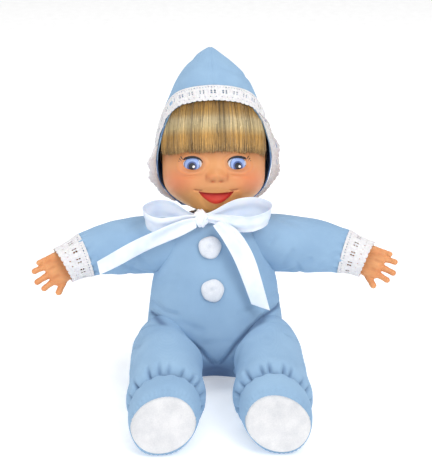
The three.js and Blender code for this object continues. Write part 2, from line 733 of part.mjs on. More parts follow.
// ---------------------------------------------------------------- neck ribbon and bow
const RIBBON = { width: 18, thickness: 0.9 };
const BOW = new THREE.Vector3(-13, -31.5, 146);
const bandRadius = COLLAR.radius + GAP;
addPart(torso, "ribbon_neckband", satin, ring(bandRadius, bandRadius + RIBBON.thickness, 142.6, 149.4, 26));
addPart(torso, "ribbon_knot", satin, ellipsoid([8, 6.5, 7], BOW.toArray(), 12, 8));

// A flat loop: a teardrop band whose narrow end is at the knot and whose opening tips towards the front.
const LOOP = { depth: 10, tilt: 38, tall: 17 };
function loopForm(side, reach) {
  const outline = (inset) => {
    const shape = new THREE.Shape();
    const [length, depth] = [reach - inset, LOOP.depth - inset];
    shape.moveTo(inset * 3, 0);
    shape.bezierCurveTo(length * 0.35, -depth * 0.9, length * 0.95, -depth * 1.5, length, 0);
    shape.bezierCurveTo(length * 0.95, depth * 1.5, length * 0.35, depth * 0.9, inset * 3, 0);
    return shape;
  };
  const band = outline(0);
  band.holes.push(outline(RIBBON.thickness));
  return new THREE.ExtrudeGeometry(band, { depth: LOOP.tall, bevelEnabled: false, curveSegments: 7 })
    .translate(0, 0, -LOOP.tall / 2)
    .rotateX(rad(LOOP.tilt))
    .scale(side, 1, 1);
}
for (const [word, side, reach] of [["left", 1, 57], ["right", -1, 42]]) {
  addPart(
    torso,
    `ribbon_loop_${word}`,
    satin,
    loopForm(side, reach).rotateZ(side * rad(6)).translate(BOW.x + side * 9, BOW.y - 7, BOW.z),
  );
}

// A tail: a flat strip with a slanted end, which hangs from the knot at a turn from the sideways direction
// and bows away from the body by a curve through a few [distance, reach] pairs.
function tailForm(length, slant, turn, bow) {
  const steps = 10;
  const edge = (height, far) =>
    Array.from({ length: steps + 1 }, (_, i) => new THREE.Vector2((far * i) / steps, height));
  const halfWide = RIBBON.width / 2;
  const outline = new THREE.Shape([...edge(-halfWide, length), ...edge(halfWide, length - slant).reverse()]);
  const strip = new THREE.ExtrudeGeometry(outline, { depth: RIBBON.thickness, bevelEnabled: false });
  const curve = new THREE.SplineCurve(bow.map(([x, y]) => new THREE.Vector2(x, y)));
  const samples = curve.getPoints(40);
  const reachAt = (x) => {
    const next = Math.max(1, samples.findIndex((sample) => sample.x >= x));
    const [a, b] = [samples[next - 1], samples[next]];
    return THREE.MathUtils.lerp(a.y, b.y, (x - a.x) / (b.x - a.x));
  };
  return reshape(strip.rotateX(Math.PI / 2), (p) => {
    p.y -= reachAt(p.x);
  }).rotateY(rad(turn));
}
const sideways = tailForm(92, 12, 25, [[-1, 0], [20, 12], [50, 20], [93, 31]]).scale(-1, 1, 1);
const downwards = tailForm(88, 13, 61, [[-1, 0], [18, 9], [45, 15], [99, 14]]);
addPart(torso, "ribbon_tail_right", satin, sideways.translate(BOW.x - 4, BOW.y - 10, BOW.z - 13));
addPart(torso, "ribbon_tail_left", satin, downwards.translate(BOW.x + 9, BOW.y - 7, BOW.z - 12));

export default doll;
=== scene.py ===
"""A seated soft-bodied baby doll: blue knitted body, vinyl head and hands, pointed hood, lace trims and a satin bow.

Every piece is built in millimetres in the frame of the part that carries it (torso, head, arm or leg) and
then placed in the row frame in metres.
"""

import json
import math

import bmesh
import bpy
import numpy as np
from mathutils import Matrix, Vector
from numpy import array, clip, concatenate, cos, hypot, interp, linspace, maximum, minimum, sin, sqrt, where


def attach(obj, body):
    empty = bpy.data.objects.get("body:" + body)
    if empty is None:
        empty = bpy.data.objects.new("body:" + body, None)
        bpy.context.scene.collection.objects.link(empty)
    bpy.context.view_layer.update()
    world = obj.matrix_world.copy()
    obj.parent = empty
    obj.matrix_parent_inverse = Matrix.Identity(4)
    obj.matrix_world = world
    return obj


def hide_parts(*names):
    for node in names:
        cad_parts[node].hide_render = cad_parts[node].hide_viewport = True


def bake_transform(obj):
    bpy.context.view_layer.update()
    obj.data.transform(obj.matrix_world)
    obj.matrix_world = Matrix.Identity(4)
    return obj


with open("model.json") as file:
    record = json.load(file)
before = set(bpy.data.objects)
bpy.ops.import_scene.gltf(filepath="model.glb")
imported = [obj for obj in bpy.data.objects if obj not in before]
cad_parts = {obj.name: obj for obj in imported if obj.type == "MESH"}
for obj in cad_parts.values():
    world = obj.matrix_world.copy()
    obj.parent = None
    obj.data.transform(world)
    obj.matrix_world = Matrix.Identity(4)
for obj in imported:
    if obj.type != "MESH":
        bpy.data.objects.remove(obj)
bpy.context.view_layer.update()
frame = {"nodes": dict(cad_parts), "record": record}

# ---- frames of the doll's parts
rad = math.radians
pi = math.pi
move, spin = Matrix.Translation, Matrix.Rotation
TORSO = move((0, -0.026, 0)) @ spin(rad(-16), 4, "X")
HEAD = TORSO @ move((0, 0.002, 0.150)) @ spin(rad(-6), 4, "X") @ move((0, 0, 0.053))
MIRROR = {"left": Matrix.Identity(4), "right": Matrix.Diagonal((-1, 1, 1, 1))}
SIDES = {"left": 1, "right": -1}
SHOULDER = move((0.049, 0, 0.121)) @ spin(rad(-12), 4, "Z") @ spin(rad(4), 4, "Y")
ARM = {side: TORSO @ MIRROR[side] @ SHOULDER for side in SIDES}
LEG = {side: MIRROR[side] @ move((0.038, -0.036, 0.034)) for side in SIDES}


def to_row(points, matrix):
    """Points in millimetres in a part's frame, as metres in the row frame."""
    m = array(matrix)
    return np.asarray(points, float) * 0.001 @ m[:3, :3].T + m[:3, 3]


def to_part(points, matrix):
    """Points in metres in the row frame, as millimetres in a part's frame."""
    return to_row(np.asarray(points) * 1000, matrix.inverted()) * 1000


# ---- small numeric tools
def curve_at(table, x):
    """A smooth value at x from a table of (x, value) pairs."""
    xs, ys = array(table, float).T
    x = clip(x, xs[0], xs[-1])
    slopes = np.gradient(ys, xs)
    i = clip(np.searchsorted(xs, x, side="right") - 1, 0, len(xs) - 2)
    h = xs[i + 1] - xs[i]
    t = (x - xs[i]) / h
    rise = (t**3 - 2 * t**2 + t) * slopes[i] + (t**3 - t**2) * slopes[i + 1]
    return (2 * t**3 - 3 * t**2 + 1) * ys[i] + (3 * t**2 - 2 * t**3) * ys[i + 1] + h * rise


def path_at(points, t):
    """Points on a smooth path through a few points, for t from 0 to 1."""
    points = array(points, float)
    knots = linspace(0, 1, len(points))
    return np.stack([curve_at(np.column_stack([knots, column]), t) for column in points.T], -1)


def bump(d, width=1):
    return np.exp(-((d / width) ** 2))


def blob(across, up):
    """A round bump, at distances that are given in its own half-widths."""
    return bump(hypot(across, up))


def step(x, low, high):
    t = clip((x - low) / (high - low), 0, 1)
    return t * t * (3 - 2 * t)


def xyz(x, y, z):
    return np.stack(np.broadcast_arrays(x, y, z), -1)


def circle(count):
    """Angles evenly all the way round."""
    return linspace(0, 2 * pi, count, endpoint=False)


def grid(first, second):
    return np.meshgrid(first, second, indexing="ij")


def size_of(vectors):
    return np.linalg.norm(vectors, axis=-1)


def unit(vectors):
    return vectors / maximum(size_of(vectors), 1e-9)[..., None]


def off_angle(around, degrees):
    """How far angles are from one angle, the short way round."""
    return abs((around - rad(degrees) + pi) % (2 * pi) - pi)


def ripple(points, scale, seed):
    """A smooth random field between about -1 and 1, whose lumps are scale millimetres across."""
    rng = np.random.default_rng(seed)
    total = np.zeros(points.shape[:-1])
    for _ in range(9):
        way = rng.normal(size=3)
        way *= 2 * pi / scale / size_of(way) * rng.uniform(0.6, 1.3)
        total += sin(points @ way + rng.uniform(0, 6.28))
    return total / 4


def segment_distance(points, a, b):
    a, b = array(a, float), array(b, float)
    t = clip(((points - a) @ (b - a)) / ((b - a) @ (b - a)), 0, 1)
    return size_of(points - (a + t[..., None] * (b - a)))


def groove(points, a, b, width):
    """A bump across the line from a to b."""
    return bump(segment_distance(points, a, b), width)


def grid_normals(points, wrap):
    """Unit normals of a grid of points, whose columns may close on themselves."""
    across = np.roll(points, -1, 1) - np.roll(points, 1, 1) if wrap else np.gradient(points, axis=1)
    return unit(np.cross(np.gradient(points, axis=0), across))


def pushed(points, shift, wrap=True):
    """A grid of points moved along its normals: outwards for one that wraps round."""
    return points + grid_normals(points, wrap) * (-shift if wrap else shift)[..., None]


def rings(along, around, wide, tall):
    """Rings of points round an axis: along it, across and up."""
    return xyz(along, wide * cos(around), tall * sin(around))


# ---- meshes
def make_object(name, mesh, material):
    mesh.materials.append(material)
    obj = bpy.data.objects.new(name, mesh)
    bpy.context.scene.collection.objects.link(obj)
    return obj


def make_mesh(name, points, faces, material, smooth=True):
    mesh = bpy.data.meshes.new(name)
    mesh.from_pydata(points.tolist(), [], faces)
    mesh.update()
    mesh.polygons.foreach_set("use_smooth", [smooth] * len(mesh.polygons))
    return make_object(name, mesh, material)


def grid_faces(rows, columns, wrap, keep=None):
    faces = []
    for i in range(rows - 1):
        for j in range(columns if wrap else columns - 1):
            k = (j + 1) % columns
            if keep is None or keep[i, j]:
                faces.append((i * columns + j, i * columns + k, (i + 1) * columns + k, (i + 1) * columns + j))
    return faces


def grid_object(name, points, matrix, material, wrap=False, caps=(False, False), keep=None, thickness=0):
    """A grid of points in millimetres as a surface, with its open ends closed where caps says so."""
    rows, columns = points.shape[:2]
    faces = grid_faces(rows, columns, wrap, keep)
    flat = points.reshape(-1, 3)
    if caps[0]:
        flat = np.vstack([flat, points[0].mean(0)])
        faces += [((j + 1) % columns, j, len(flat) - 1) for j in range(columns)]
    if caps[1]:
        flat = np.vstack([flat, points[-1].mean(0)])
        last = (rows - 1) * columns
        faces += [(last + j, last + (j + 1) % columns, len(flat) - 1) for j in range(columns)]
    obj = make_mesh(name, to_row(flat, matrix), faces, material)
    tidy(obj, thickness)
    return obj


def closed_form(name, points, matrix, material, **settings):
    """A grid that wraps round and is closed at both ends."""
    return grid_object(name, points, matrix, material, wrap=True, caps=(True, True), **settings)


def tidy(obj, thickness=0):
    """Drops loose points, gives thickness in millimetres to a sheet, and turns the faces outwards."""
    edit = bmesh.new()
    edit.from_mesh(obj.data)
    bmesh.ops.delete(edit, geom=[v for v in edit.verts if not v.link_faces], context="VERTS")
    bmesh.ops.remove_doubles(edit, verts=edit.verts, dist=1e-7)
    bmesh.ops.recalc_face_normals(edit, faces=edit.faces)
    if thickness:
        bmesh.ops.solidify(edit, geom=list(edit.faces), thickness=thickness * 0.001)
        bmesh.ops.recalc_face_normals(edit, faces=edit.faces)
        for face in edit.faces:
            face.smooth = True
    edit.to_mesh(obj.data)
    edit.free()


def store(obj, name, rgba):
    layer = obj.data.color_attributes.new(name, "FLOAT_COLOR", "POINT")
    layer.data.foreach_set("color", rgba.astype(np.float32).ravel())


def paint(obj, colours):
    """Stores a colour for each point of a mesh, which its material reads as Paint."""
    store(obj, "Paint", np.column_stack([colours, np.ones(len(colours))]))


def shade_creases(obj, depth):
    """Stores how deep in a crease each point of a cloth lies, from 0 to 1, for its material to darken as painted
    shade.
    """
    values = np.zeros(len(obj.data.vertices))
    values[: depth.size] = clip(depth.ravel(), 0, 1)
    store(obj, "CreaseShade", np.repeat(values, 4))


def points_of(obj, matrix):
    flat = np.empty(len(obj.data.vertices) * 3)
    obj.data.vertices.foreach_get("co", flat)
    return to_part(flat.reshape(-1, 3), matrix)


def apply_modifier(obj, kind, **settings):
    modifier = obj.modifiers.new(kind, kind)
    for key, value in settings.items():
        setattr(modifier, key, value)
    with bpy.context.temp_override(object=obj, active_object=obj, selected_objects=[obj]):
        bpy.ops.object.modifier_apply(modifier=modifier.name)


def tube(name, path, radius, matrix, material, sides=8, closed=False):
    """A round tube along a path of points, in millimetres; radius may differ from point to point."""
    path = np.asarray(path, float)
    radius = np.broadcast_to(radius, len(path))[:, None, None]
    ahead = unit(np.roll(path, -1, 0) - np.roll(path, 1, 0) if closed else np.gradient(path, axis=0))
    side = unit(np.cross(ahead, [0.13, 0.21, 0.97]))
    up = np.cross(side, ahead)
    turn = circle(sides)[None, :, None]
    hoops = path[:, None] + radius * (cos(turn) * side[:, None] + sin(turn) * up[:, None])
    if closed:
        hoops = concatenate([hoops, hoops[:1]])
    return grid_object(name, hoops, matrix, material, wrap=True, caps=(not closed, not closed))


def claim(obj, body, slot, *nodes, fill=None):
    """Attaches a piece to the body it rides on and hides the CAD nodes it stands for; slot and fill are not used."""
    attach(obj, body)
    if nodes:
        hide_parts(*nodes)
    return obj


# ---- materials
def srgb(r, g, b):
    return tuple(((c / 255 + 0.055) / 1.055) ** 2.4 if c > 10 else c / 255 / 12.92 for c in (r, g, b))


def layered(colours, colour, amount):
    """Colours with one more colour laid over them."""
    amount = amount[..., None]
    return colours * (1 - amount) + array(srgb(*colour)) * amount


class Nodes:
    """A short way to write a material's node tree."""

    def __init__(self, name):
        self.material = bpy.data.materials.new(name)
        self.material.use_nodes = True
        self.tree = self.material.node_tree
        self.shader = self.tree.nodes["Principled BSDF"]
        self.place = self.add("TexCoord").outputs["Object"]

    def join(self, value, socket):
        if isinstance(value, bpy.types.NodeSocket):
            self.tree.links.new(value, socket)
        else:
            socket.default_value = value

    def add(self, kind, inputs=None, **settings):
        node = self.tree.nodes.new("ShaderNode" + kind)
        for key, value in settings.items():
            setattr(node, key, value)
        for key, value in (inputs or {}).items():
            self.join(value, node.inputs[key])
        return node

    def set(self, **values):
        for key, value in values.items():
            self.join(value, self.shader.inputs[key.replace("_", " ")])

    def noise(self, scale, detail=2, roughness=0.5):
        inputs = {"Vector": self.place, "Scale": scale, "Detail": detail, "Roughness": roughness}
        return self.add("TexNoise", inputs).outputs["Fac"]

    def wave(self, scale, direction, distortion=0):
        inputs = {"Vector": self.place, "Scale": scale, "Distortion": distortion, "Detail": 1, "Detail Scale": 2}
        return self.add("TexWave", inputs, bands_direction=direction).outputs["Fac"]

    def stored(self, name, output="Color"):
        return self.add("Attribute", attribute_name=name).outputs[output]

    def math(self, operation, a, b):
        return self.add("Math", {0: a, 1: b}, operation=operation).outputs[0]

    def blend(self, a, share_a, b, share_b):
        return self.math("ADD", self.math("MULTIPLY", a, share_a), self.math("MULTIPLY", b, share_b))

    def uneven(self, fac, share, least):
        """A roughness from least upwards."""
        return self.math("ADD", self.math("MULTIPLY", fac, share), least)

    def ramp(self, fac, low, high, start=0.3, end=0.7):
        node = self.add("ValToRGB", {"Fac": fac})
        for element, place, colour in zip(node.color_ramp.elements, (start, end), (low, high)):
            element.position = place
            element.color = (*colour, 1)
        return node.outputs["Color"]

    def mix(self, fac, a, b, blend="MIX"):
        node = self.add("Mix", data_type="RGBA", blend_type=blend)
        for index, value in ((0, fac), (6, a), (7, b)):
            self.join((*value, 1) if isinstance(value, tuple) else value, node.inputs[index])
        return node.outputs[2]

    def relief(self, height, strength, distance):
        normal = self.add("Bump", {"Height": height, "Strength": strength, "Distance": distance})
        self.set(Normal=normal.outputs["Normal"])
        return self.material


def knit(name, light, dark, fuzz=0.35):
    """Brushed jersey: fine rows of stitches under a soft nap, a little uneven in colour, with painted shade darkening
    its creases.
    """
    n = Nodes(name)
    stitch = n.math("MULTIPLY", n.wave(520, "Z", 1.2), n.wave(430, "X", 1.6))
    height = n.blend(stitch, 0.5, n.noise(1500, 3, 0.7), 0.6)
    cloth = n.ramp(n.blend(n.noise(34, 3), 0.7, height, 0.3), dark, light, 0.25, 0.75)
    # painted shade: the jersey is mixed towards dark navy where a point lies deep in a crease
    crease_shade = n.math("MULTIPLY", n.stored("CreaseShade", "Fac"), 0.72)
    n.set(Base_Color=n.mix(crease_shade, cloth, srgb(48, 66, 112)), Roughness=0.92, Specular_IOR_Level=0.2)
    n.set(Sheen_Weight=fuzz, Sheen_Roughness=0.5, Sheen_Tint=(*light, 1))
    return n.relief(height, 0.35, 0.0006)


def felt(name, light, dark):
    """Short-haired white felt."""
    n = Nodes(name)
    fibres = n.noise(900, 6, 0.75)
    n.set(Base_Color=n.ramp(n.blend(n.noise(90, 3), 0.5, fibres, 0.5), dark, light, 0.3, 0.62))
    n.set(Roughness=0.95, Specular_IOR_Level=0.15, Sheen_Weight=0.5, Sheen_Roughness=0.6)
    return n.relief(fibres, 0.5, 0.0009)


def satin_material():
    """Ribbon satin: a fine rib along the ribbon with a soft shine, cool white."""
    n = Nodes("satin_ribbon")
    rib = n.wave(900, "Z", 0.4)
    n.set(Base_Color=n.ramp(n.noise(60), srgb(226, 236, 252), srgb(248, 250, 255)))
    n.set(Roughness=n.uneven(rib, 0.1, 0.28), Specular_IOR_Level=0.6, Sheen_Weight=0.25, Sheen_Roughness=0.3)
    n.set(Subsurface_Weight=0.08, Subsurface_Scale=0.003)
    return n.relief(rib, 0.12, 0.0002)


def lace_material():
    """White cotton lace, with the grain of its thread."""
    n = Nodes("cotton_lace")
    n.set(Base_Color=n.ramp(n.noise(500, 3), srgb(236, 232, 236), srgb(252, 250, 250)), Roughness=0.85)
    n.set(Specular_IOR_Level=0.2, Sheen_Weight=0.3, Subsurface_Weight=0.05, Subsurface_Scale=0.002)
    return n.relief(n.math("ADD", n.wave(1100, "X", 3), n.wave(1100, "Z", 3)), 0.5, 0.0004)


def vinyl(name):
    """Soft painted vinyl: a fine bloom and speckle, with its colours in the Paint layer."""
    n = Nodes(name)
    mottle = n.ramp(n.noise(70, 3), (0.93, 0.9, 0.88), (1, 1, 1))
    n.set(Base_Color=n.mix(0.6, n.stored("Paint"), mottle, "MULTIPLY"), Specular_IOR_Level=0.42)
    n.set(Roughness=n.uneven(n.noise(200), 0.16, 0.36), Subsurface_Weight=0.12, Subsurface_Scale=0.004)
    n.set(Subsurface_Radius=(1, 0.45, 0.25))
    return n.relief(n.noise(1600), 0.08, 0.0002)


def painted_gloss(name, roughness, coat):
    n = Nodes(name)
    speck = n.ramp(n.noise(900), (0.9, 0.9, 0.9), (1, 1, 1))
    n.set(Base_Color=n.mix(0.5, n.stored("Paint"), speck, "MULTIPLY"), Roughness=roughness)
    n.set(Coat_Weight=coat, Coat_Roughness=0.04)
    return n.relief(n.noise(400), 0.03, 0.0001)


def hair_material():
    """Fine synthetic hair: colour by strand from Paint, with a silky, slightly uneven shine."""
    n = Nodes("blond_fibre")
    streak = n.ramp(n.noise(420, 3, 0.6), (0.84, 0.82, 0.78), (1, 1, 1))
    n.set(Base_Color=n.mix(1, n.stored("Paint"), streak, "MULTIPLY"), Roughness=0.42)
    n.set(Specular_IOR_Level=0.45, Sheen_Weight=0.2)
    return n.relief(n.noise(900), 0.2, 0.0002)


def plastic(name, colour, roughness, grain=700):
    n = Nodes(name)
    n.set(Base_Color=n.ramp(n.noise(60), tuple(c * 0.9 for c in colour), colour))
    n.set(Roughness=n.uneven(n.noise(300), 0.15, roughness))
    return n.relief(n.noise(grain), 0.1, 0.0002)


def metal(name, colour, roughness):
    n = Nodes(name)
    n.set(Base_Color=n.ramp(n.noise(120), tuple(c * 0.8 for c in colour), colour), Metallic=1)
    n.set(Roughness=n.uneven(n.noise(500, 3), 0.2, roughness))
    return n.material


BLUE = knit("blue_jersey", srgb(156, 188, 216), srgb(136, 168, 200))
# a darker copy of the jersey with less nap: painted shade for the hood's inside and its turned edges
SHADED_JERSEY = knit("blue_jersey_painted_shade", srgb(116, 150, 198), srgb(92, 124, 176), 0.1)
FELT = felt("white_felt", srgb(230, 233, 239), srgb(203, 209, 219))
SOLE_CLOTH = felt("white_fleece", srgb(226, 226, 228), srgb(200, 202, 207))
SATIN = satin_material()
LACE = lace_material()
SKIN = vinyl("painted_vinyl")
EYE = painted_gloss("painted_eye", 0.3, 0.25)
LASH = plastic("lash_paint", srgb(22, 20, 26), 0.3)
HAIR = hair_material()
SLOT_MATERIALS = {
    "white_plastic": plastic("white_abs", srgb(236, 236, 230), 0.35),
    "black_plastic": plastic("black_abs", srgb(34, 34, 36), 0.4),
    "board_green": plastic("board_lacquer", srgb(38, 108, 66), 0.3, 300),
    "steel": metal("plated_steel", srgb(200, 203, 208), 0.25),
    "battery_wrap": plastic("battery_sleeve", srgb(66, 80, 94), 0.28),
    "fibrefill": felt("fibrefill", srgb(246, 245, 240), srgb(226, 224, 216)),
    "white_felt": FELT,
    "elastic_white": felt("elastic_braid", srgb(236, 236, 232), srgb(210, 210, 206)),
    "blue_knit": BLUE,
    "lace": LACE,
    "satin": SATIN,
}
for part in frame["record"]["subparts"]:
    if part["material_slot"] in SLOT_MATERIALS:
        materials = frame["nodes"][part["node"]].data.materials
        materials.clear()
        materials.append(SLOT_MATERIALS[part["material_slot"]])

# ---- torso
# The stuffed torso by height: half its width, and its depth in front and behind.
PROFILE = [(-14, 22, 6, 14), (-8, 42, 12, 26), (2, 55, 26, 36), (16, 61.5, 43, 41), (34, 63, 47, 42)]
PROFILE += [(60, 60.5, 44, 41), (90, 56, 39, 37), (112, 51.5, 35, 33.5), (124, 46.5, 32.5, 31)]
PROFILE += [(133, 39, 29.5, 28.5), (138, 31, 27, 26), (142, 24.5, 24, 23.5), (148, 21.5, 21.5, 21.5)]
WIDTH, FRONT, BACK = (array(PROFILE)[:, [0, k]] for k in (1, 2, 3))
SQUARENESS = 2.25
WINDOW_HALF, WINDOW_LOW, WINDOW_HIGH = 27, 32, 92
WINDOW_MIDDLE = (WINDOW_LOW + WINDOW_HIGH) / 2


def torso_surface(height, turn):
    """Points on the stuffed torso at a height and a turn from straight ahead."""
    across, ahead = sin(turn), -cos(turn)
    depth = where(ahead < 0, curve_at(FRONT, height), curve_at(BACK, height))
    width = curve_at(WIDTH, height)
    reach = (abs(across / width) ** SQUARENESS + abs(ahead / depth) ** SQUARENESS) ** (-1 / SQUARENESS)
    return xyz(across * reach, ahead * reach, height)


def torso_depth(table, x, z, out=0):
    """How deep the torso is at a place, in front or behind, moved out by a distance."""
    width = curve_at(WIDTH, z) + out
    share = maximum(1 - abs(x / width) ** SQUARENESS, 0) ** (1 / SQUARENESS)
    return (curve_at(table, z) + out) * share


def on_floor(points, matrix, lowest=0.4):
    """Flattens what would hang below the floor, with a soft edge."""
    row = to_row(points, matrix)
    z = row[..., 2] * 1000
    lift = where(z < lowest + 4, lowest + 4 * np.exp(minimum(z - lowest - 4, 0) / 4), z)
    row[..., 2] = maximum(lift, lowest) * 0.001
    return to_part(row, matrix)


# The front's creases, as lines through points (x, z), each with a width and a depth.
FURROWS = []
for line, wide, deep in [
    ([(-58, 59), (-43, 50), (-28, 37), (-15, 29), (-2, 13)], 2.2, 3),
    ([(62, 66), (44, 57), (30, 46), (17, 33), (3, 14)], 2.2, 3),
    ([(-54, 98), (-47, 110), (-41, 122)], 1.9, 2.4),
    ([(54, 100), (43, 117), (35, 132)], 1.9, 2.4),
    ([(-60, 72), (-46, 62), (-36, 60)], 2.4, 1.3),
    ([(60, 78), (48, 72), (36, 70)], 2.4, 1.1),
    ([(22, 60), (38, 66)], 3, 0.8),
    ([(-30, 52), (-14, 46)], 3.2, 0.8),
    ([(-12, 34), (10, 36)], 3.4, 0.7),
    ([(-50, 88), (-36, 92)], 3, 0.9),
    ([(50, 90), (36, 95)], 3, 0.9),
]:
    FURROWS += [((x0, 0, z0), (x1, 0, z1), wide, deep) for (x0, z0), (x1, z1) in zip(line, line[1:])]


def furrow_depth(points, narrow=1):
    """How deep the front's creases are at points on the torso."""
    front = points * [1, 0, 1]
    depth = np.zeros(points.shape[:-1])
    for a, b, wide, deep in FURROWS:
        depth = maximum(depth, deep * groove(front, a, b, wide * narrow))
    return depth * (points[..., 1] < 0)


height, turn = grid(linspace(-14, 148, 150), circle(220))
points = torso_surface(height, turn)
shift = 0.55 * ripple(points, 42, 3) + 0.18 * ripple(points, 14, 4) - furrow_depth(points)
for low, high in ((98, 140), (2, 26)):  # the seam down the back, above and below the flap
    shift = shift - 0.7 * groove(points, (0, 44, low), (0, 44, high), 1.2)
around_window = maximum(abs(points[..., 0]) - WINDOW_HALF, abs(height - WINDOW_MIDDLE) - 30)
shift = where(points[..., 1] > 0, shift * step(around_window, 2, 8), shift)
points = pushed(points, shift)
points[..., 2] += 9 * bump(points[..., 0] + 1, 20) * (1 - step(height, -4, 26))
points = on_floor(points, TORSO)
opening = (points[..., 1] > 8) & (abs(points[..., 0]) < WINDOW_HALF)
opening &= (height > WINDOW_LOW) & (height < WINDOW_HIGH)
torso = closed_form("body_suit", points, TORSO, BLUE, keep=~opening)
spots = points_of(torso, TORSO)
# Painted shade: darkest low on the front between the legs, fainter up the lower belly, together with the creases.
low_front_shade = 0.9 * bump(spots[:, 0], 26) * (1 - step(spots[:, 2], 6, 22)) * (spots[:, 1] < 0)
low_front_shade += 0.22 * bump(spots[:, 0], 30) * (1 - step(spots[:, 2], 16, 62)) * (spots[:, 1] < 0)
shade_creases(torso, maximum((furrow_depth(spots, 0.85) - 1) / 2.2, low_front_shade))
claim(torso, "torso", "blue_knit", "torso_cover", "torso_stuffing", fill=0.8)

# The hem that finishes the access window in the back.
corners = [(x * (WINDOW_HALF + 0.6), WINDOW_MIDDLE + z * 30.6) for x, z in ((-1, -1), (1, -1), (1, 1), (-1, 1))]
hem_path = []
for start, end in zip(corners, corners[1:] + corners[:1]):
    x, z = (linspace(start[k], end[k], 24, endpoint=False) for k in (0, 1))
    hem_path.append(xyz(x, torso_depth(BACK, x, z), z))
hem = tube("window_hem", concatenate(hem_path), 1.1, TORSO, BLUE, closed=True)
claim(hem, "torso", "blue_knit")


# ---- felt buttons
def felt_button(node, x, z):
    """A soft round pad of felt with a stitched dimple."""
    y = -float(torso_depth(FRONT, x, z))
    slope = math.atan2(float(curve_at(FRONT, z + 4) - curve_at(FRONT, z - 4)), 8)
    share, around = grid(linspace(0, 1, 26), circle(56))
    edge = 10.2 * (1 + 0.03 * sin(3 * around + z) + 0.02 * sin(5 * around + 1))
    swell = sin(clip(share * 1.15, 0, 1) * pi / 2)
    radius = where(share < 0.85, edge * swell, edge * (1 - 0.18 * (share - 0.85) / 0.15))
    rise = where(share < 0.85, 4.6 * cos(clip(share / 0.85, 0, 1) * pi / 2) ** 0.55, 0)
    rise = rise - 1.9 * bump(radius, 2.2)
    points = xyz(radius * cos(around), -rise - 0.4, radius * sin(around))
    points[..., 1] -= 0.25 * ripple(points, 6, 11) * (share < 0.84)
    place = TORSO @ move((x / 1000, y / 1000, z / 1000)) @ spin(slope, 4, "X")
    pad = closed_form(node + "_pad", points, place, FELT)
    claim(pad, "torso", "white_felt", node, fill=0.7)


felt_button("felt_button_upper", -5, 119)
felt_button("felt_button_lower", -3, 81)

# ---- sleeves
SLEEVE_TALL = [(-24, 17), (-10, 25), (4, 26.6), (18, 26.6), (34, 25.4), (50, 23.4), (62, 21.2), (73, 19.4)]
SLEEVE_DEEP = [(-24, 17), (-10, 25), (4, 26), (16, 26), (32, 25), (48, 23), (62, 21), (73, 19.2)]
SLEEVE_FOLDS = [
    # from, to (along, back, up), width, depth
    ((12, -20, -24), (26, -27, -6), 2.6, 2.4),
    ((18, -10, -27), (42, -22, -12), 3, 1.6),
    ((32, 0, -26), (30, -20, -17), 3, 1.2),
    ((6, -26, 2), (14, -26, 16), 2.4, 1),
    ((14, 14, 24), (30, 10, 24), 4, 1),
    ((14, -14, 24), (34, -18, 18), 3.4, 1.2),
    ((50, -16, -16), (64, -20, -4), 3, 1),
]
DROOP = {"left": (38, 0.0032), "right": (36, 0.0038)}  # where an arm starts to bend down, and how fast
BEND_END = 95
WRIST = 74


def droop(points, side):
    """Bends an arm down past a distance from its shoulder; its hand goes straight on."""
    start, rate = DROOP[side]
    x, z = points[..., 0], points[..., 2]
    bend = clip(x, start, BEND_END) - start
    slope = 2 * rate * bend
    down = rate * bend**2 + maximum(x - BEND_END, 0) * np.tan(slope)
    return xyz(x + z * sin(slope), points[..., 1], z * cos(slope) - down)


def sleeve(side, seed):
    """A stuffed sleeve from inside the shoulder to the cuff, gathered at its end."""
    along, around = grid(concatenate([linspace(-24, 66, 84), linspace(67, 73, 9)]), circle(120))
    tall, deep = curve_at(SLEEVE_TALL, along), curve_at(SLEEVE_DEEP, along)
    points = rings(along, around, deep, tall)
    shift = 0.5 * ripple(points, 34, seed) + 0.15 * ripple(points, 11, seed + 1)
    for a, b, width, depth in SLEEVE_FOLDS:
        shift = shift - depth * groove(points, a, b, width)
    shift = shift + step(along, 60, 72) * 0.8 * sin(around * 17 + 1.3 * sin(3 * around))
    shift = shift - 1.1 * bump(along - 73, 2.2)
    points = pushed(points, shift)
    obj = closed_form(f"sleeve_{side}_cloth", droop(points, side), ARM[side], BLUE)
    start, end = to_row([[-2, 0, 0], [30, 0, 0]], ARM[side])
    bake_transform(obj)
    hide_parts(f"sleeve_{side}", f"arm_stuffing_{side}")


# ---- lace
def lace_pattern(length, width, cell, eyelets):
    """Where a flat lace band has cloth: rows across its width from the scalloped edge, columns along it."""
    pitch = length / max(1, round(length / 5.2))
    columns, rows = int(length / cell), int(width / cell)
    x, y = np.meshgrid((np.arange(columns) + 0.5) * length / columns, (np.arange(rows) + 0.5) * width / rows)
    phase = (x / pitch) % 1 - 0.5
    cloth = y > 1.3 * (1 - sqrt(maximum(1 - 4 * phase**2, 0)))
    if not eyelets:
        return cloth
    for centre, radius, times in ((width * 0.26, 0.5, 1), (width * 0.88, 0.45, 2)):
        spot = ((x / pitch * times) % 1 - 0.5) * pitch / times
        cloth &= hypot(spot, y - centre) > radius
    pair = ((x / (pitch * 2)) % 1 - 0.5) * pitch * 2
    for dx in (-1.5, 1.5):
        for dy in (-1.1, 1.1):
            cloth &= maximum(abs(pair - dx) / 0.6, abs(y - width * 0.58 - dy) / 0.75) > 1
    return cloth


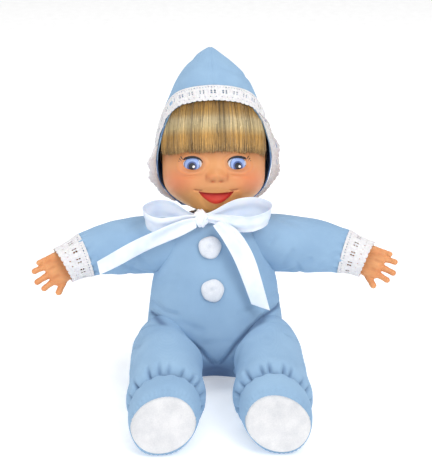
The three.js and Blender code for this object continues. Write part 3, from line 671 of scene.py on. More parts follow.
def lace_band(name, inner, outer, matrix, body, *nodes, cell=0.5, closed=False, bulge=0, eyelets=True):
    """A lace band between its scalloped edge (inner) and its sewn edge (outer), two paths in millimetres."""
    width = float(size_of(outer - inner).mean())
    if closed:
        inner, outer = np.vstack([inner, inner[:1]]), np.vstack([outer, outer[:1]])
    lengths = concatenate([[0], np.cumsum(size_of(np.diff((inner + outer) / 2, axis=0)))])
    cloth = lace_pattern(lengths[-1], width, cell, eyelets)
    rows, columns = cloth.shape
    s = linspace(0, lengths[-1], columns + 1)
    a, b = (np.stack([interp(s, lengths, edge[:, k]) for k in range(3)], -1) for edge in (inner, outer))
    t = linspace(0, 1, rows + 1)[:, None, None]
    points = a[None] + (b - a)[None] * t
    frill = sin(s / 3.1 + 0.6 * sin(s / 7)) * 0.35
    points = pushed(points, frill * (1 - t[..., 0]) + bulge * sin(t[..., 0] * pi), False)
    obj = grid_object(name, points, matrix, LACE, keep=cloth, thickness=0.35)
    claim(obj, body, "lace", *nodes)


def cuff(side):
    """The gathered lace round the sleeve's end."""
    around = circle(90)
    wobble = 1 + 0.02 * sin(5 * around)
    inner, outer = (
        droop(rings(along, around, deep * wobble, tall * wobble), side)
        for along, deep, tall in ((91.5, 15.8, 17.2), (70, 20.6, 20.8))
    )
    name, node = f"cuff_{side}_lace", f"cuff_lace_{side}"
    lace_band(name, inner, outer, ARM[side], f"arm_{side}", node, cell=0.55, closed=True, bulge=-0.9)


# ---- hands
DIGITS = [
    # start and end (along the arm past the wrist, up), radius: first finger to thumb
    ((24, 12), (33, 13.6), 2.7),
    ((27, 7), (39.5, 9), 3),
    ((28, -0.6), (42, -0.6), 3.1),
    ((27, -7.6), (40, -8.8), 3),
    ((20, -10), (31.5, -18.6), 3.2),
]


def hand(side):
    """A chubby vinyl hand: its palm, fingers, thumb and wrist, joined and smoothed."""
    balls = []
    for x in linspace(-2, 12, 6):
        balls += [((x, 0, z), 6.8) for z in (-4.5, 0, 4.5)]
    for x in linspace(12, 27, 8):
        spread = 7 + 2.2 * sin(pi * (x - 12) / 20)
        balls += [((x, -0.3, z * spread), 5.7) for z in (-1, -0.5, 0, 0.5, 1)]
    for (x0, z0), (x1, z1), radius in DIGITS:
        for t in linspace(0, 1, 9):
            knuckle = 1.08 - 0.16 * t + 0.05 * cos(t * 13)
            balls.append(((x0 + (x1 - x0) * t, -0.5 - 2.2 * t * t, z0 + (z1 - z0) * t), radius * knuckle))
    edit = bmesh.new()
    for centre, radius in balls:
        place = move(Vector(centre) * 0.001)
        bmesh.ops.create_icosphere(edit, subdivisions=2, radius=radius * 0.001, matrix=place)
    name = f"hand_{side}_vinyl"
    mesh = bpy.data.meshes.new(name)
    edit.to_mesh(mesh)
    edit.free()
    obj = make_object(name, mesh, SKIN)
    apply_modifier(obj, "REMESH", mode="VOXEL", voxel_size=0.0006, use_smooth_shade=True)
    apply_modifier(obj, "SMOOTH", factor=0.6, iterations=7)
    local = points_of(obj, Matrix.Identity(4))
    for (x0, z0), (_, z1), _ in DIGITS:  # the creases where the digits leave the palm
        middle = (z0 + z1) / 2
        local[:, 1] += 0.5 * groove(local, (x0 + 1, -7, middle - 4), (x0 + 1, -7, middle + 3), 1.1)
    obj.data.vertices.foreach_set("co", to_row(droop(local + [WRIST, 0, 0], side), ARM[side]).ravel())
    obj.data.update()
    tidy(obj)
    warm = (0.5 + 0.5 * ripple(local, 14, 41))[:, None]
    colours = array(srgb(226, 160, 106)) * (1 - warm) + array(srgb(216, 144, 92)) * warm
    # painted shade in the gaps between the fingers
    gaps = [segment_distance(local, (25, -6, z), (40, -6, z * 1.1)) for z in (4, -4.4, 10.6)]
    finger_gap_shade = clip(1 - np.min(gaps, 0) / 2.2, 0, 1)
    paint(obj, layered(colours, (180, 100, 58), 0.45 * finger_gap_shade))
    claim(obj, f"arm_{side}", "skin_vinyl", f"hand_{side}")


for side, seed in (("left", 20), ("right", 30)):
    sleeve(side, seed)
    cuff(side)
    hand(side)

# ---- legs
ANKLE, FOOT_END = 117, 143
THIGH = [(-20, 22), (-12, 29), (0, 33.5), (16, 35.5), (40, 35.5), (70, 34), (92, 33.4), (103, 33.6), (109, 32.4)]
THIGH += [(113, 29.6), (115.5, 26), (ANKLE, 24)]
BOOT = [(ANKLE, 24), (118.6, 27.6), (122, 29.6), (128, 30.4), (134, 30.4), (139, 29.6), (FOOT_END, 27.6)]
SOLE_WIDE, SOLE_TALL = 26.8, 23.8
SPLAY = 0.062
INNER_GAP = {"left": 0.26, "right": 0.2}
LEG_FOLDS = {
    # from, to (along the leg, across, up), width, depth
    "left": [
        ((12, 30, 20), (24, 6, 36), 2.6, 2.2),
        ((28, 33, 14), (44, 20, 28), 3.2, 1.4),
        ((62, -22, 22), (80, -30, 8), 3.4, 1.3),
        ((70, 30, 16), (92, 33, 2), 4, 1),
    ],
    "right": [
        ((10, 32, 16), (22, 14, 34), 2.4, 3),
        ((22, 14, 34), (30, -4, 36), 2.4, 2),
        ((30, 34, 10), (52, 26, 22), 3.2, 1.6),
        ((64, 33, 12), (96, 34, 0), 3, 1.8),
    ],
}
SOLE_FOLDS = [((0, -16, 12), (0, 4, 16), 0.9), ((0, -4, -16), (0, 16, -11), 0.7), ((0, 10, 4), (0, 20, 12), 0.6)]


def leg_shape(points):
    """From along the leg (x), across (y) and up (z) to a leg's frame: splayed, with the foot leaning back."""
    along, across, up = points[..., 0], points[..., 1], points[..., 2]
    lean = step(along, 88, 142)
    up = up - 3.5 * step(along, 70, ANKLE) - 0.13 * across * lean
    return xyz(across + SPLAY * along, -along + 0.16 * up * lean, up)


def leg(side, seed):
    """The stuffed leg from the hip to the ankle's gathers, with the soft hollow between the legs."""
    along, around = grid(concatenate([linspace(-20, 92, 64), linspace(93.5, ANKLE, 26)]), circle(160))
    radius = curve_at(THIGH, along)
    radius = radius * (1 - 0.45 * bump(off_angle(around, 134), 0.85) * (1 - step(along, 8, 66)))
    slim = INNER_GAP[side] * bump(off_angle(around, 190), 0.7)
    radius = radius * (1 - slim * step(along, 0, 20) * (1 - step(along, 66, 108)))
    points = rings(along, around, radius, radius)
    shift = 0.6 * ripple(points, 46, seed) + 0.15 * ripple(points, 15, seed + 1)
    rng = np.random.default_rng(seed)
    # Painted shade: dark in the groove at the ankle, in the gathers and along the folds.
    crease_shade = 0.9 * step(along, 113.5, 116.5)
    for angle in np.arange(0, 360, 19) + rng.uniform(-5, 5, 19):  # the gathers above the ankle
        reach = rng.uniform(6, 15)
        off = off_angle(around, angle) * 30
        gather = rng.uniform(2.6, 4.6) * bump(off, 1.7) * step(along, ANKLE - 6 - reach, 114)
        gather = gather * (1 - 0.8 * step(along, 113.5, 116.5))
        shift = shift - gather
        crease_shade = maximum(crease_shade, 0.2 * gather * bump(off, 1.2))
    for a, b, width, depth in LEG_FOLDS[side]:
        fold = depth * groove(points, a, b, width)
        shift = shift - fold
        crease_shade = maximum(crease_shade, 0.12 * fold * groove(points, a, b, width * 0.8))
    points = pushed(points, shift)
    placed = on_floor(leg_shape(points), LEG[side])
    obj = closed_form(f"leg_{side}_cloth", placed, LEG[side], BLUE)
    spots = to_part(to_row(placed, LEG[side]), TORSO)
    # painted shade where the torso's front creases run onto the leg
    v_crease_shade = furrow_depth(spots) / 3.4 * (1 - step(-spots[..., 1], 48, 60))
    shade_creases(obj, maximum(crease_shade, v_crease_shade))
    start, end = to_row([[0, -2, 0], [0, -36, 0]], LEG[side])
    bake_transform(obj)
    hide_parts(f"leg_cover_{side}", f"leg_stuffing_{side}")


def bootee(side, seed):
    along, around = grid(linspace(ANKLE, FOOT_END, 34), circle(160))
    radius = curve_at(BOOT, along)
    toe = step(along, 120, FOOT_END)
    points = rings(along, around, radius * (1 - 0.06 * toe), radius)
    points[..., 2] -= 1.5 * toe
    shift = 0.35 * ripple(points, 30, seed + 2)
    folds = 0.5 * sin(around * 19 + 2 * sin(2 * around))
    shift = shift + folds * (1 - step(along, 118, 128)) + 0.35 * sin(around * 44) * step(along, 139, 142)
    points = pushed(points, shift)
    boot = closed_form(f"bootee_{side}_cloth", on_floor(leg_shape(points), LEG[side]), LEG[side], BLUE)
    # painted shade in the groove at the bootee's top
    shade_creases(boot, 0.9 * (1 - step(along, 117.6, 119.4)))
    claim(boot, f"leg_{side}", "blue_knit", f"bootee_{side}", fill=0.8)


def ankle_band(side):
    along, around = grid(linspace(115, 119, 8), circle(120))
    band = leg_shape(rings(along, around, 21.5, 21.5))
    cloth = SLOT_MATERIALS["elastic_white"]
    elastic = grid_object(f"ankle_elastic_{side}_band", band, LEG[side], cloth, wrap=True, thickness=1)
    claim(elastic, f"leg_{side}", "elastic_white", f"ankle_elastic_{side}")


def sole(side, seed):
    """The felt sole: a slightly crowned oval with a few soft dents, standing on the floor."""
    share, around = grid(linspace(0, 1, 30), circle(110))
    out = 143.2 + 4.6 * sqrt(clip(1 - share**3.2, 0, 1)) - 1.2 * step(share, 0.97, 1)
    egg = 1 + 0.05 * sin(around) * cos(around)
    points = rings(out, around, SOLE_WIDE * share * egg, SOLE_TALL * share) - [0, 0, 3]
    points[..., 0] += (0.5 * ripple(points, 16, seed + 5) + 0.8 * ripple(points, 30, seed + 6)) * (1 - share)
    for a, b, deep in SOLE_FOLDS:
        points[..., 0] -= deep * groove(points * [0, 1, 1], a, b, 2.2)
    placed = on_floor(leg_shape(points), LEG[side], 0.6)
    oval = grid_object(f"sole_{side}_cloth", placed, LEG[side], SOLE_CLOTH, wrap=True, caps=(False, True))
    claim(oval, f"leg_{side}", "white_felt", f"sole_{side}", fill=0.7)


for side, seed in (("left", 50), ("right", 60)):
    leg(side, seed)
    bootee(side, seed)
    ankle_band(side)
    sole(side, seed)

# ---- head
HEAD_ROUND, HEAD_TALL = 47, 54
EYE_X, EYE_Z = 20.5, -13.8
CHIN_DROP = 4
NOSE_X, NOSE_Z = 1.6, -24
MOUTH_X, MOUTH_HALF, MOUTH_CORNER = 1, 15.6, -37.4


def head_surface(turn, z):
    """Points on the smooth head at a turn from straight ahead and a height."""
    level = clip(z / HEAD_TALL, -1, 1)
    ring = sqrt(maximum(1 - level**2, 0)) * HEAD_ROUND
    cheek = 1 + 0.165 * bump(level + 0.68, 0.34)
    y = -cos(turn) * ring
    return xyz(sin(turn) * ring * cheek, where(y < 0, y * (0.4 + 0.6 * cheek), y), z)


def head_front(x, z):
    """How far forward the head's plain ellipsoid is, as a y."""
    ring = sqrt(maximum(1 - (z / HEAD_TALL) ** 2, 0))
    return -sqrt(maximum((HEAD_ROUND * ring) ** 2 - x**2, 0))


def mouth_lines(x):
    """Heights of the upper lip's edge and the lower lip's edge at x, and how far x is towards a corner."""
    u = clip(abs(x - MOUTH_X) / MOUTH_HALF, 0, 1)
    return MOUTH_CORNER - 1.7 * (1 - u**2.2), MOUTH_CORNER - 9.9 * (1 - u**2) ** 0.8, u


def smile(x, z, start, spread, thick):
    """The line past the mouth's corners, and how far x is past the corner."""
    side = abs(x - MOUTH_X) - MOUTH_HALF
    along = maximum(side - start, 0) / spread + minimum(side + 1, 0) / 2
    return blob(along, (z - MOUTH_CORNER - 0.9 - 0.22 * maximum(side, -1)) / thick), side


def eye_share(x, z):
    """Distance from the middle of the nearer eye socket, which is 1 at its rim."""
    return hypot((abs(x) - EYE_X) / 10.4, (z - EYE_Z) / 7)


def face_relief(x, z):
    """How far the sculpted face stands out from the smooth head."""
    across, up = x - NOSE_X, z - NOSE_Z
    nostril = abs(across)
    rise = 2.6 * blob((abs(x) - 28) / 13, (z + 27) / 12)
    rise += 7.4 * blob(across / 6.2, up / 4.8)
    rise += 0.9 * blob(across / 4.6, (up - 9) / 6)
    rise += 2.6 * blob((nostril - 6.4) / 3, (up + 1.2) / 2.9)
    rise -= 1.5 * blob((nostril - 3.4) / 1.6, (up + 5.2) / 1.1)
    rise += 4.6 * blob(x / 13, (z + 49) / 7)
    rise += 1.6 * blob(x / 12, (z + 33.5) / 3.5)
    eye = eye_share(x, z)
    rise -= 3.4 * (1 - step(eye, 0.62, 1.04))
    rise += 1.1 * bump(eye - 1.22, 0.22)
    rise -= 1.2 * blob((abs(x) - EYE_X) / 9, (z - EYE_Z + 10.4) / 1.6)
    upper, lower, u = mouth_lines(x)
    inside = step(upper - z, -0.6, 0.8) * step(z - lower, -0.4, 0.8) * (u < 1)
    rise -= 2.2 * inside * bump(z - upper + 1.6, 2.4)
    rise += 1.7 * inside * bump(z - lower - 2.6, 2.2)
    rise -= 1.2 * bump(z - lower + 2.4, 2) * (1 - u**2) * (u < 1)
    line, side = smile(x, z, 2.4, 2, 0.9)
    rise -= 1.5 * line
    rise += 1.3 * blob((side - 7) / 4, (z - MOUTH_CORNER) / 8)
    return rise


def face_colours(x, z, front):
    """The vinyl's colour with its sprayed cheeks, lips and eye shading, with painted shade under the fringe, round
    the nose and in the smile lines, and painted light under the chin.
    """
    nostril, up = abs(x - NOSE_X), z - NOSE_Z
    upper, lower, u = mouth_lines(x)
    inside = step(upper - z, -0.35, 0.35) * step(z - lower, -0.35, 0.35) * (u < 1)
    colours = np.broadcast_to(srgb(220, 156, 102), (*x.shape, 3))
    for colour, amount in [
        # painted shadow of the fringe on the brow
        ((168, 104, 60), 0.9 * step(z, -15, 1)),
        ((230, 132, 88), 0.75 * blob((abs(x) - 33) / 15, (z + 27) / 12)),
        ((224, 146, 96), 0.35 * blob((abs(x) - EYE_X) / 13, (z - EYE_Z + 8) / 5)),
        ((222, 130, 84), 0.4 * blob((nostril - 6) / 5, (up + 2) / 4)),
        # painted shade in the nostrils and along the nose wings' edges
        ((176, 92, 56), 0.75 * blob((nostril - 3.6) / 2.2, up + 5.4)),
        ((190, 110, 68), 0.55 * blob(nostril - 9.6, (up + 1.2) / 3)),
        # painted light: paler skin under the chin, where the head shades it
        ((244, 176, 98), 0.8 * step(-z, 34, 46)),
        ((198, 38, 24), inside),
        ((150, 26, 26), inside * bump(z - upper + 0.6, 1.3) * 0.8),
        ((216, 68, 46), inside * blob((x - MOUTH_X) / 6.5, (z - MOUTH_CORNER + 7.6) / 2.6) * 0.8),
        # painted shade in the smile lines
        ((150, 78, 52), 0.7 * smile(x, z, 2.2, 1.6, 0.55)[0]),
        ((206, 140, 104), 0.55 * bump(eye_share(x, z) - 1.06, 0.12)),
    ]:
        colours = layered(colours, colour, clip(amount * front, 0, 1))
    return colours


turns = linspace(-pi, pi, 321)[:-1]
turns = turns - 0.3844 * sin(turns)  # closer together on the face
z, turn = grid(concatenate([linspace(-51.2, 12, 200), linspace(13.5, 53.9, 46)]), turns)
points = head_surface(turn, z)
ahead = step(-points[..., 1], 2, 16)
normals = grid_normals(points, True)
outward = np.sign((normals * points).sum(-1, keepdims=True))
direction = unit(0.45 * normals * outward + array([0, -0.55, 0]))
points = points + direction * (face_relief(points[..., 0], z) * ahead)[..., None]
points[..., 2] -= CHIN_DROP * step(-z, 43, 55) * ahead
head = grid_object("head_vinyl", points, HEAD, SKIN, wrap=True, caps=(False, True))
spots = points_of(head, HEAD)
before = linspace(-60, 60, 400)
undropped = interp(spots[:, 2], before - CHIN_DROP * step(-before, 43, 55), before)
paint(head, face_colours(spots[:, 0], undropped, step(-spots[:, 1], 2, 14)))
claim(head, "head", "skin_vinyl", "head_shell")


# ---- eyes
def lash_tube(name, x, z, out, radius, sides):
    """A dark painted line or a flick of a lash, on the head's front."""
    claim(tube(name, xyz(x, head_front(x, z) + out, z), radius, HEAD, LASH, sides), "head", "black_plastic")


def eye(node, side):
    """A glossy painted eye: pale blue iris with a dark rim, a deep pupil, a painted white highlight and painted shade
    under the lid.
    """
    share, around = grid(linspace(0, 1, 60), circle(96))
    middle = side * EYE_X
    x, z = middle + share * cos(around) * 11.2, EYE_Z + share * sin(around) * 7.9
    points = xyz(x, head_front(x, z) + 1.5 - 1.9 * (1 - share**2), z)
    obj = grid_object(node + "_painted", points, HEAD, EYE, wrap=True, thickness=0.8)
    spots = points_of(obj, HEAD)
    x, z = spots[:, 0] - middle - 0.1, spots[:, 2] - EYE_Z
    iris, pupil = hypot(x, z + 0.2) / 7.5, hypot(x, z + 1.6)
    angle = np.arctan2(z + 1.6, x)
    rays = 0.5 + 0.5 * sin(angle * 26 + 2 * sin(angle * 5))
    colours = np.broadcast_to(srgb(214, 220, 234), (len(x), 3))
    for colour, amount in [
        ((150, 176, 232), 1 - step(iris, 0.86, 0.93)),
        ((178, 200, 244), (1 - step(iris, 0.5, 0.84)) * 0.5 * rays),
        ((44, 58, 118), bump(iris - 0.92, 0.055) * 0.9),
        ((40, 62, 130), (1 - step(pupil, 3.9, 4.9)) * 0.85),
        ((10, 14, 34), 1 - step(pupil, 2.7, 3.4)),
        # painted highlights: a white glint beside the pupil and a fainter one at the side
        ((255, 255, 255), 1 - step(hypot(x - 1.5, z + 2), 0.9, 1.3)),
        ((250, 252, 255), 0.35 * (1 - step(hypot(x - 6.5, (z - 1.5) / 2), 0.8, 1.4))),
        # painted shade under the upper lid
        ((120, 140, 190), 0.7 * step(z, 3.6, 6.6)),
    ]:
        colours = layered(colours, colour, amount)
    paint(obj, colours)
    claim(obj, "head", "eye_glaze", node)

    # The lash line is a dark lid that thickens towards its outer corner, with three flicks.
    t = linspace(0, 1, 60)
    start, end = (rad(196), rad(-8)) if side > 0 else (rad(188), rad(-16))
    angle = start + (end - start) * t
    lid_z = EYE_Z + 6.9 * sin(angle) + 1.1 * step(side * cos(angle), 0.2, 1)
    radius = 1.5 * sin(clip(t, 0.02, 0.98) * pi) ** 0.4 * (0.7 + 0.55 * (t if side > 0 else 1 - t))
    name = node + "_painted"
    lash_tube(name + "_lash", middle + 10.2 * cos(angle), lid_z, 0.1, radius, 8)
    for k in range(3):
        turned = rad(14 + 12 * k)
        t_flick = linspace(0, 1, 8)
        x = middle + side * 10 * cos(turned) + t_flick * side * 2.2
        z = EYE_Z + 7.2 * sin(turned) + 0.6 + t_flick * (1.5 + 0.5 * k)
        lash_tube(f"{name}_lash_{k + 1}", x, z, -linspace(1, 3, 8), linspace(0.75, 0.25, 8), 6)
    radius = 0.55 * sin(clip(t, 0.03, 0.97) * pi) ** 0.5
    lash_tube(name + "_lower_lid", middle + 9.8 * cos(angle), EYE_Z - 6.9 * sin(angle), -0.1, radius, 6)


for name, side in SIDES.items():
    eye(f"eye_{name}", side)

# ---- hair
# Hair tones by height: the pale band from 19 to 26 is a painted highlight, the darkest tones at the top painted shade
# under the hood's edge.
HAIR_TONES_AND_SHEEN = [(-6, (184, 150, 96)), (2, (172, 134, 76)), (12, (170, 128, 60)), (19, (188, 168, 122))]
HAIR_TONES_AND_SHEEN += [(26, (186, 168, 130)), (32, (154, 118, 52)), (40, (132, 96, 36)), (50, (104, 74, 32))]
HAIR_RADIUS = [(-14, 48.6), (0, 50.2), (10, 50), (20, 49.2), (30, 47.4), (39, 45.4), (45, 43.2), (52.5, 38.6)]
HAIR_ROOT = 52.5


def hair_colour_and_sheen(z, shade):
    """Brown at the roots, darkest under the hood's edge as painted shade, a pale band a third of the way down that is
    a painted highlight, then gold to the tips; shade is per strand.
    """
    heights, tones = zip(*HAIR_TONES_AND_SHEEN)
    mixed = np.stack([interp(z, heights, band) for band in zip(*(srgb(*tone) for tone in tones))], -1)
    return mixed * np.broadcast_to(1 + shade, np.shape(z))[..., None]


def hair_strands(name, count, seed):
    """Fine tubes from the hood's edge down to the fringe's ends, gathered a little into locks."""
    rng = np.random.default_rng(seed)
    sides, stations = 4, 16
    all_points, all_faces, all_colours = [], [], []
    t = linspace(0, 1, stations)
    angle = np.arange(sides)[None, :, None] * 2 * pi / sides
    for k in range(count):
        turn0 = rng.uniform(-1.24, 1.24)
        layer = rng.uniform(0, 1)
        tip = -2.4 + rng.normal(0, 1.1) + 0.56 * sin(turn0 * 9)
        z = HAIR_ROOT + (tip - HAIR_ROOT) * t
        lock = round(turn0 * 13) / 13
        wander = 0.015 * sin(t * 4 + rng.uniform(0, 6)) + rng.normal(0, 0.02) * t**2
        turn = turn0 + (lock - turn0) * 0.35 * t + wander
        radius = curve_at(HAIR_RADIUS, z) - 2.2 * layer + 0.5 * sin(lock * 60) - 1 * t**6
        away = xyz(sin(turn), -cos(turn), 0)
        path = away * radius[:, None] + array([0, 0, 1]) * z[:, None]
        thick = rng.uniform(0.34, 0.6) * clip((1 - t) * 6, 0.18, 1)
        ahead = unit(np.gradient(path, axis=0))
        across = unit(np.cross(ahead, away))
        out = np.cross(across, ahead)
        spokes = cos(angle) * across[:, None] * 1.5 + sin(angle) * out[:, None]
        base = k * stations * sides
        all_points.append((path[:, None] + thick[:, None, None] * spokes).reshape(-1, 3))
        all_faces += [tuple(base + i for i in face) for face in grid_faces(stations, sides, True)]
        all_faces.append(tuple(base + j for j in range(sides))[::-1])
        all_faces.append(tuple(base + (stations - 1) * sides + j for j in range(sides)))
        shade = clip(rng.normal(0, 0.24) + 0.22 * sin(lock * 70), -0.6, 0.6)
        all_colours.append(np.repeat(hair_colour_and_sheen(z, shade), sides, axis=0))
    obj = make_mesh(name, to_row(concatenate(all_points), HEAD), all_faces, HAIR)
    paint(obj, concatenate(all_colours))
    return obj


claim(hair_strands("hair_fringe_strands", 1900, 5), "head", "blond_hair", "hair_fringe")

z, turn = grid(linspace(2, 53, 60), linspace(-pi, pi, 240, endpoint=False))
z = z - 12 * step(abs(turn), 1.3, 1.9) * (1 - (z - 2) / 51)
points = head_surface(turn, minimum(z, 53.8))
strands = 1.7 + 0.35 * sin(turn * 90 + 3 * sin(turn * 7))
points = points + unit(points * [1, 1, 0.4]) * strands[..., None]
crown = grid_object("hair_crown_cap", points, HEAD, HAIR, wrap=True, caps=(False, True))
spots = points_of(crown, HEAD)
# the cap is darker than the strands, as painted shade beneath them
paint(crown, hair_colour_and_sheen(spots[:, 2], -0.2 + 0.15 * sin(np.arctan2(spots[:, 0], -spots[:, 1]) * 90)))
claim(crown, "head", "blond_hair", "hair_crown")

# ---- hood
HOOD_RADIUS = [(-46, 36), (-38, 43), (-30, 48), (-14, 52.5), (4, 53), (24, 50), (35, 47), (52, 40.5), (67, 33.6)]
HOOD_RADIUS += [(75, 28.6), (84, 20.6), (92, 11.4), (97, 4.6), (99, 1.2)]
HOOD_LOW, HOOD_HIGH = HOOD_RADIUS[0][0], HOOD_RADIUS[-1][0]
# The face opening's edge: degrees round from straight ahead, and height.
HOOD_EDGE = [(0, 43.5), (18, 43), (37, 41), (48, 38), (56, 33), (62, 26), (69, 11), (84, -10), (102, -30), (124, -46)]
EDGE_TURNS, EDGE_HEIGHTS = array(HOOD_EDGE, float).T
HOOD_TOP = EDGE_HEIGHTS[0]
HOOD_LEAN = -2
LACE_WIDTH = 13.6


def hood_point(z, turn, out=0):
    """A point on the hood at a height and a turn from straight ahead; the tip leans to the doll's right."""
    radius = curve_at(HOOD_RADIUS, z) + out
    ridge = 1 + 0.03 * bump(sin(turn / 2), 0.12) * step(z, 40, 70)
    x = radius * sin(turn) * (1 - 0.02 * step(z, 60, 96))
    y = -radius * cos(turn) * ridge * (1 + 0.05 * step(z, 20, 70))
    return xyz(x + HOOD_LEAN * step(z, 30, HOOD_HIGH), y + 5 * step(z, 55, HOOD_HIGH), z)


def edge_turn(z):
    """How far round the face opening's edge is from straight ahead at a height."""
    return np.radians(interp(z, EDGE_HEIGHTS[::-1], EDGE_TURNS[::-1]))


levels = [linspace(HOOD_LOW, 40, 56), linspace(40.5, HOOD_TOP, 30), linspace(HOOD_TOP + 0.8, HOOD_HIGH, 52)]
z, share = grid(concatenate(levels), linspace(0, 1, 150))
first = where(z < HOOD_TOP, edge_turn(minimum(z, HOOD_TOP)), 0)
turn = first + (2 * pi - 2 * first) * share
points = hood_point(z, turn)
shift = 0.7 * ripple(points, 44, 70) + 0.3 * ripple(points, 20, 71)
front_seam, rear_seam = (abs(half) * curve_at(HOOD_RADIUS, z) * 2 for half in (sin(turn / 2), cos(turn / 2)))
shift = shift - 0.8 * bump(where(z > HOOD_TOP, front_seam, 99), 1.1) - 0.8 * bump(rear_seam, 1.1)
shift = shift - 0.9 * bump(z - 78 + 9 * sin(turn), 2.6) * step(abs(sin(turn)), 0.1, 0.6)
hood = grid_object("hood_cloth", points + unit(points * [1, 1, 0.2]) * shift[..., None], HEAD, BLUE, thickness=1.2)
hood.data.materials.append(SHADED_JERSEY)
spots = points_of(hood, HEAD)
axis = xyz(HOOD_LEAN * step(spots[:, 2], 30, 97), 5 * step(spots[:, 2], 55, 97), spots[:, 2])
for polygon in hood.data.polygons:  # the inner side gets the darker copy of the jersey, which is painted shade
    centre = (to_part([polygon.center], HEAD)[0] - axis[polygon.vertices[0]]) * [1, 1, 0]
    if centre @ array(HEAD.to_3x3().inverted() @ polygon.normal) < 0:
        polygon.material_index = 1
claim(hood, "head", "blue_knit", "hood")


def smoothed(values):
    return np.convolve(np.pad(values, 6, "reflect", reflect_type="odd"), np.ones(13) / 13, "valid")


# The lace round the face opening, evenly spaced along its edge between two turns.
turns = linspace(-88, 62, 600)
heights = interp(abs(turns), EDGE_TURNS, EDGE_HEIGHTS)
across = np.radians(turns) * curve_at(HOOD_RADIUS, heights)
run = concatenate([[0], np.cumsum(hypot(np.diff(across), np.diff(heights)))])
even = linspace(0, run[-1], 260)
across, heights = (smoothed(interp(even, run, values)) for values in (across, heights))
way = unit(np.stack([np.gradient(across), np.gradient(heights)], -1))
outer_across, outer_heights = across - way[:, 1] * LACE_WIDTH, heights + way[:, 0] * LACE_WIDTH
inner = hood_point(heights - 0.8, across / curve_at(HOOD_RADIUS, heights), 1.6)
outer = hood_point(outer_heights, outer_across / curve_at(HOOD_RADIUS, outer_heights), 1.5)
lace_band("hood_lace_trim", inner, outer, HEAD, "head", "hood_lace")


def turned_edge(name, side, top, bottom, spread):
    """A stretch of the hood's edge that has turned outwards: lace in front of a strip of darker jersey, which is
    painted shade.
    """
    levels = linspace(top, bottom, 90)
    share = (levels - bottom) / (top - bottom)
    fold = hood_point(levels, side * edge_turn(levels), 0.4)
    width = spread * sin(clip(share, 0.04, 0.97) * pi) ** 0.45 * (1 + 0.16 * sin(share * 21 + side))
    free = fold + xyz(side * width * 0.9, -1 - 0.22 * width, -0.1 * width)
    lace_band(name + "_lace", free, fold, HEAD, "head", bulge=-0.8, eyelets=False)
    middle = (fold + free) / 2 + [side * 0.4, 2, 0]
    rows = array([fold + [0, 1.2, 0], middle, fold * 0.25 + free * 0.75 + [0, 1.6, 0]])
    backing = path_at(rows.reshape(3, -1), linspace(0, 1, 8)).reshape(8, 90, 3)
    # the strip is the darker jersey, as painted shade
    cloth = grid_object(name + "_cloth", backing, HEAD, SHADED_JERSEY, thickness=0.8)
    claim(cloth, "head", "blue_knit")


turned_edge("hood_edge_left", 1, 34, -42, 8.5)
turned_edge("hood_edge_right", -1, 6, -42, 8.5)

# ---- ribbon and bow
KNOT = array([-13, -36, 146])
ACROSS_RIBBON = linspace(-1, 1, 25)[None]


def ribbon(name, node, points, cup, uneven, scale, seed):
    """A length of satin ribbon from a grid of points, cupped across its width and a little uneven."""
    points = pushed(points, cup + uneven * ripple(points, scale, seed), False)
    obj = grid_object(name, points, TORSO, SATIN, thickness=0.4)
    claim(obj, "torso", "satin", node)


def bow_loop(side, reach, lift, seed):
    """One loop of the bow: out from the knot and back, opening towards its far end."""
    name = "left" if side > 0 else "right"
    angle = linspace(0, 2 * pi, 120)
    share = (0.5 - 0.5 * cos(angle)) ** 0.8
    tilt = rad(36)
    y = -13 * sin(angle) * sin(clip(share, 0.02, 0.98) * pi * 0.62 + 0.1)
    ring = xyz(side * (reach * share + 4), y * cos(tilt), y * sin(tilt) + lift * share**1.5)
    centre = KNOT + [0, -2, 0] + ring
    width = 4.4 + 5.6 * step(share, 0, 0.5)
    lean = tilt + rad(6) * sin(angle)
    across = xyz(0.16 * side * width * share, -width * sin(lean), width * cos(lean))
    run = linspace(0, 1, 120)[:, None]
    cup = 0.7 * cos(ACROSS_RIBBON * pi * 1.5 + 1.2 * run) * (0.35 + 0.65 * abs(cos(run * pi)))
    points = centre[:, None] + across[:, None] * ACROSS_RIBBON[..., None]
    ribbon(f"bow_loop_{name}", f"ribbon_loop_{name}", points, cup, 0.3, 22, seed)


def bow_tail(name, stations, seed):
    """A tail through a few stations: x, y, z of its middle, then its half-width vector."""
    rows = path_at(stations, linspace(0, 1, 110))
    centre, across = rows[:, :3], rows[:, 3:]
    run = linspace(0, 1, 110)[:, None]
    points = centre[:, None] + across[:, None] * ACROSS_RIBBON[..., None]
    slant = 6.5 * ACROSS_RIBBON[..., None] * step(run, 0.8, 1)[..., None]
    points = points + unit(np.gradient(centre, axis=0))[:, None] * slant
    cup = 1.2 * cos(ACROSS_RIBBON * pi * 1.3) * (1 - step(run, 0.1, 0.7))
    cup = cup + 0.8 * sin(run * 7 + ACROSS_RIBBON * 1.5)
    ribbon(f"bow_tail_{name}", f"ribbon_tail_{name}", points, cup, 0.25, 24, seed)


RIGHT_TAIL = [
    (-17, -42, 142, 1, -1, 4.5),
    (-32, -48, 137, 2, -1.5, 7.8),
    (-55, -54, 128, 3.6, -1.5, 9),
    (-80, -59, 116, 4, -1, 9.4),
    (-103, -62, 104, 4.6, 0, 8.6),
]
LEFT_TAIL = [
    (2, -43, 142, 4.6, 0, 2),
    (13, -49, 131, 7.4, 0.5, 3),
    (24, -52, 112, 7.8, 0, 3.6),
    (32, -53, 90, 7.2, -1, 3.6),
    (39, -52, 67, 6.4, -1.5, 3.6),
]
bow_loop(1, 58, 3, 81)
bow_loop(-1, 46, 1, 82)
bow_tail("right", RIGHT_TAIL, 83)
bow_tail("left", LEFT_TAIL, 84)

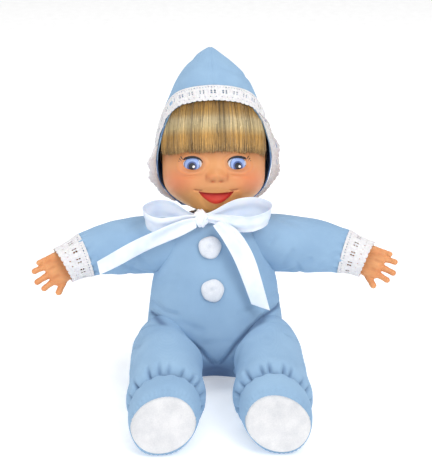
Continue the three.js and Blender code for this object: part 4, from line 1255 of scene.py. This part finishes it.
# The knot: a short wrap of ribbon round the gathered middle.
share, around = grid(linspace(0, 1, 40), circle(72))
swell = sin(share * pi) ** 0.5
pleat = 0.5 * sin(share * 22 + 1.5 * sin(around * 2)) * swell
tall, deep = (8.2 * swell + pleat) * sin(around) - 0.5, (6.6 * swell + pleat) * cos(around) - 1
knot = closed_form("bow_knot", xyz((share - 0.5) * 13 + 0.6 * sin(around * 3), deep, tall) + KNOT, TORSO, SATIN)
claim(knot, "torso", "satin", "ribbon_knot", fill=0.9)

# ---- back flap and its closure
z, x = grid(linspace(24, 97, 76), linspace(-32, 32, 70))
out = 3.4 - 1.8 * step(abs(x), 22, 32) - 1.2 * step(z, 84, 97)
edge = minimum(minimum(32 - abs(x), z - 24), 97 - z)
points = xyz(x, torso_depth(BACK, x, z, out) - 0.5 * bump(edge - 4.5, 0.7), z)
rounded = hypot(maximum(abs(x) - 26, 0), maximum(30 - z, 0)) < 6
flap = grid_object("back_flap_cloth", points, TORSO, BLUE, keep=rounded[:-1, :-1], thickness=-1.2)
claim(flap, "back_flap", "blue_knit", "back_flap")

z, x = grid(linspace(25.6, 31.4, 16), linspace(-26, 26, 120))
bristles = 0.25 * abs(sin(x * 3.1)) * abs(sin(z * 3.4))
for name, node, body, out, way in (
    ("loop_strip_pile", "loop_strip", "torso", 1, 1),
    ("hook_strip_hooks", "hook_strip", "back_flap", 2.2, -1),
):
    points = xyz(x, torso_depth(BACK, x, z, out) + way * bristles, z)
    strip = grid_object(name, points, TORSO, FELT, thickness=0.5)
    claim(strip, body, "white_felt", node, fill=0.9)

# The ribbon round the neck, under the chin.
around = circle(120)
ROWS = ((25.6, 140.2), (26.6, 142.6), (26.4, 145.2), (25.2, 147.6), (23.6, 149.4))
band = np.stack([xyz(r * sin(around), -r * cos(around), h + 0.8 * sin(around * 2)) for r, h in ROWS])
neckband = grid_object("neck_ribbon", band, TORSO, SATIN, wrap=True, thickness=0.4)
claim(neckband, "torso", "satin", "ribbon_neckband")

# ---- floor, light and camera
corners = array([[-60, -60, 0], [60, -60, 0], [60, 60, 0], [-60, 60, 0]], float)
floor = make_mesh("floor", corners, [(0, 1, 2, 3)], plastic("studio_floor", (0.93, 0.93, 0.93), 0.6), False)
floor_shader = floor.active_material.node_tree.nodes["Principled BSDF"].inputs
floor_shader["Emission Color"].default_value = (1, 1, 1, 1)
floor_shader["Emission Strength"].default_value = 0.36


def place_facing(name, data, place, way):
    """Puts a light or the camera at a place, looking along a direction."""
    obj = bpy.data.objects.new(name, data)
    obj.location = place
    obj.rotation_euler = way.to_track_quat("-Z", "Y").to_euler()
    bpy.context.scene.collection.objects.link(obj)
    return obj


for name, place, target, size, power in (
    ("key", (0.9, -1.5, 1.6), (0, -0.05, 0.12), 1, 20),
    ("fill", (-1.1, -1.5, 0.7), (0, -0.05, 0.12), 1.6, 9.5),
    ("top", (0, 0.3, 2), (0, 0, 0.1), 1.8, 19),
):
    data = bpy.data.lights.new(name, "AREA")
    data.shape = "RECTANGLE"
    data.size = data.size_y = size
    data.energy = power
    place_facing(name, data, place, Vector(target) - Vector(place))
world = bpy.data.worlds.new("studio")
world.use_nodes = True
background = world.node_tree.nodes["Background"].inputs
background["Color"].default_value = (1, 1, 1, 1)
background["Strength"].default_value = 0.46
bpy.context.scene.world = world
bpy.context.scene.view_settings.view_transform = "Standard"

TARGET = Vector((0, -0.040, 0.138))
ELEVATION, TURN, DISTANCE = rad(20), rad(-1.6), 1.25
FOCAL_PIXELS, IMAGE_HEIGHT = 1420, 476
data = bpy.data.cameras.new("camera")
data.sensor_fit = "VERTICAL"
data.sensor_height = 24
data.lens = FOCAL_PIXELS / IMAGE_HEIGHT * 24
level = cos(ELEVATION)
back = Vector((sin(TURN) * level, -cos(TURN) * level, sin(ELEVATION)))
bpy.context.scene.camera = place_facing("camera", data, TARGET + DISTANCE * back, -back)
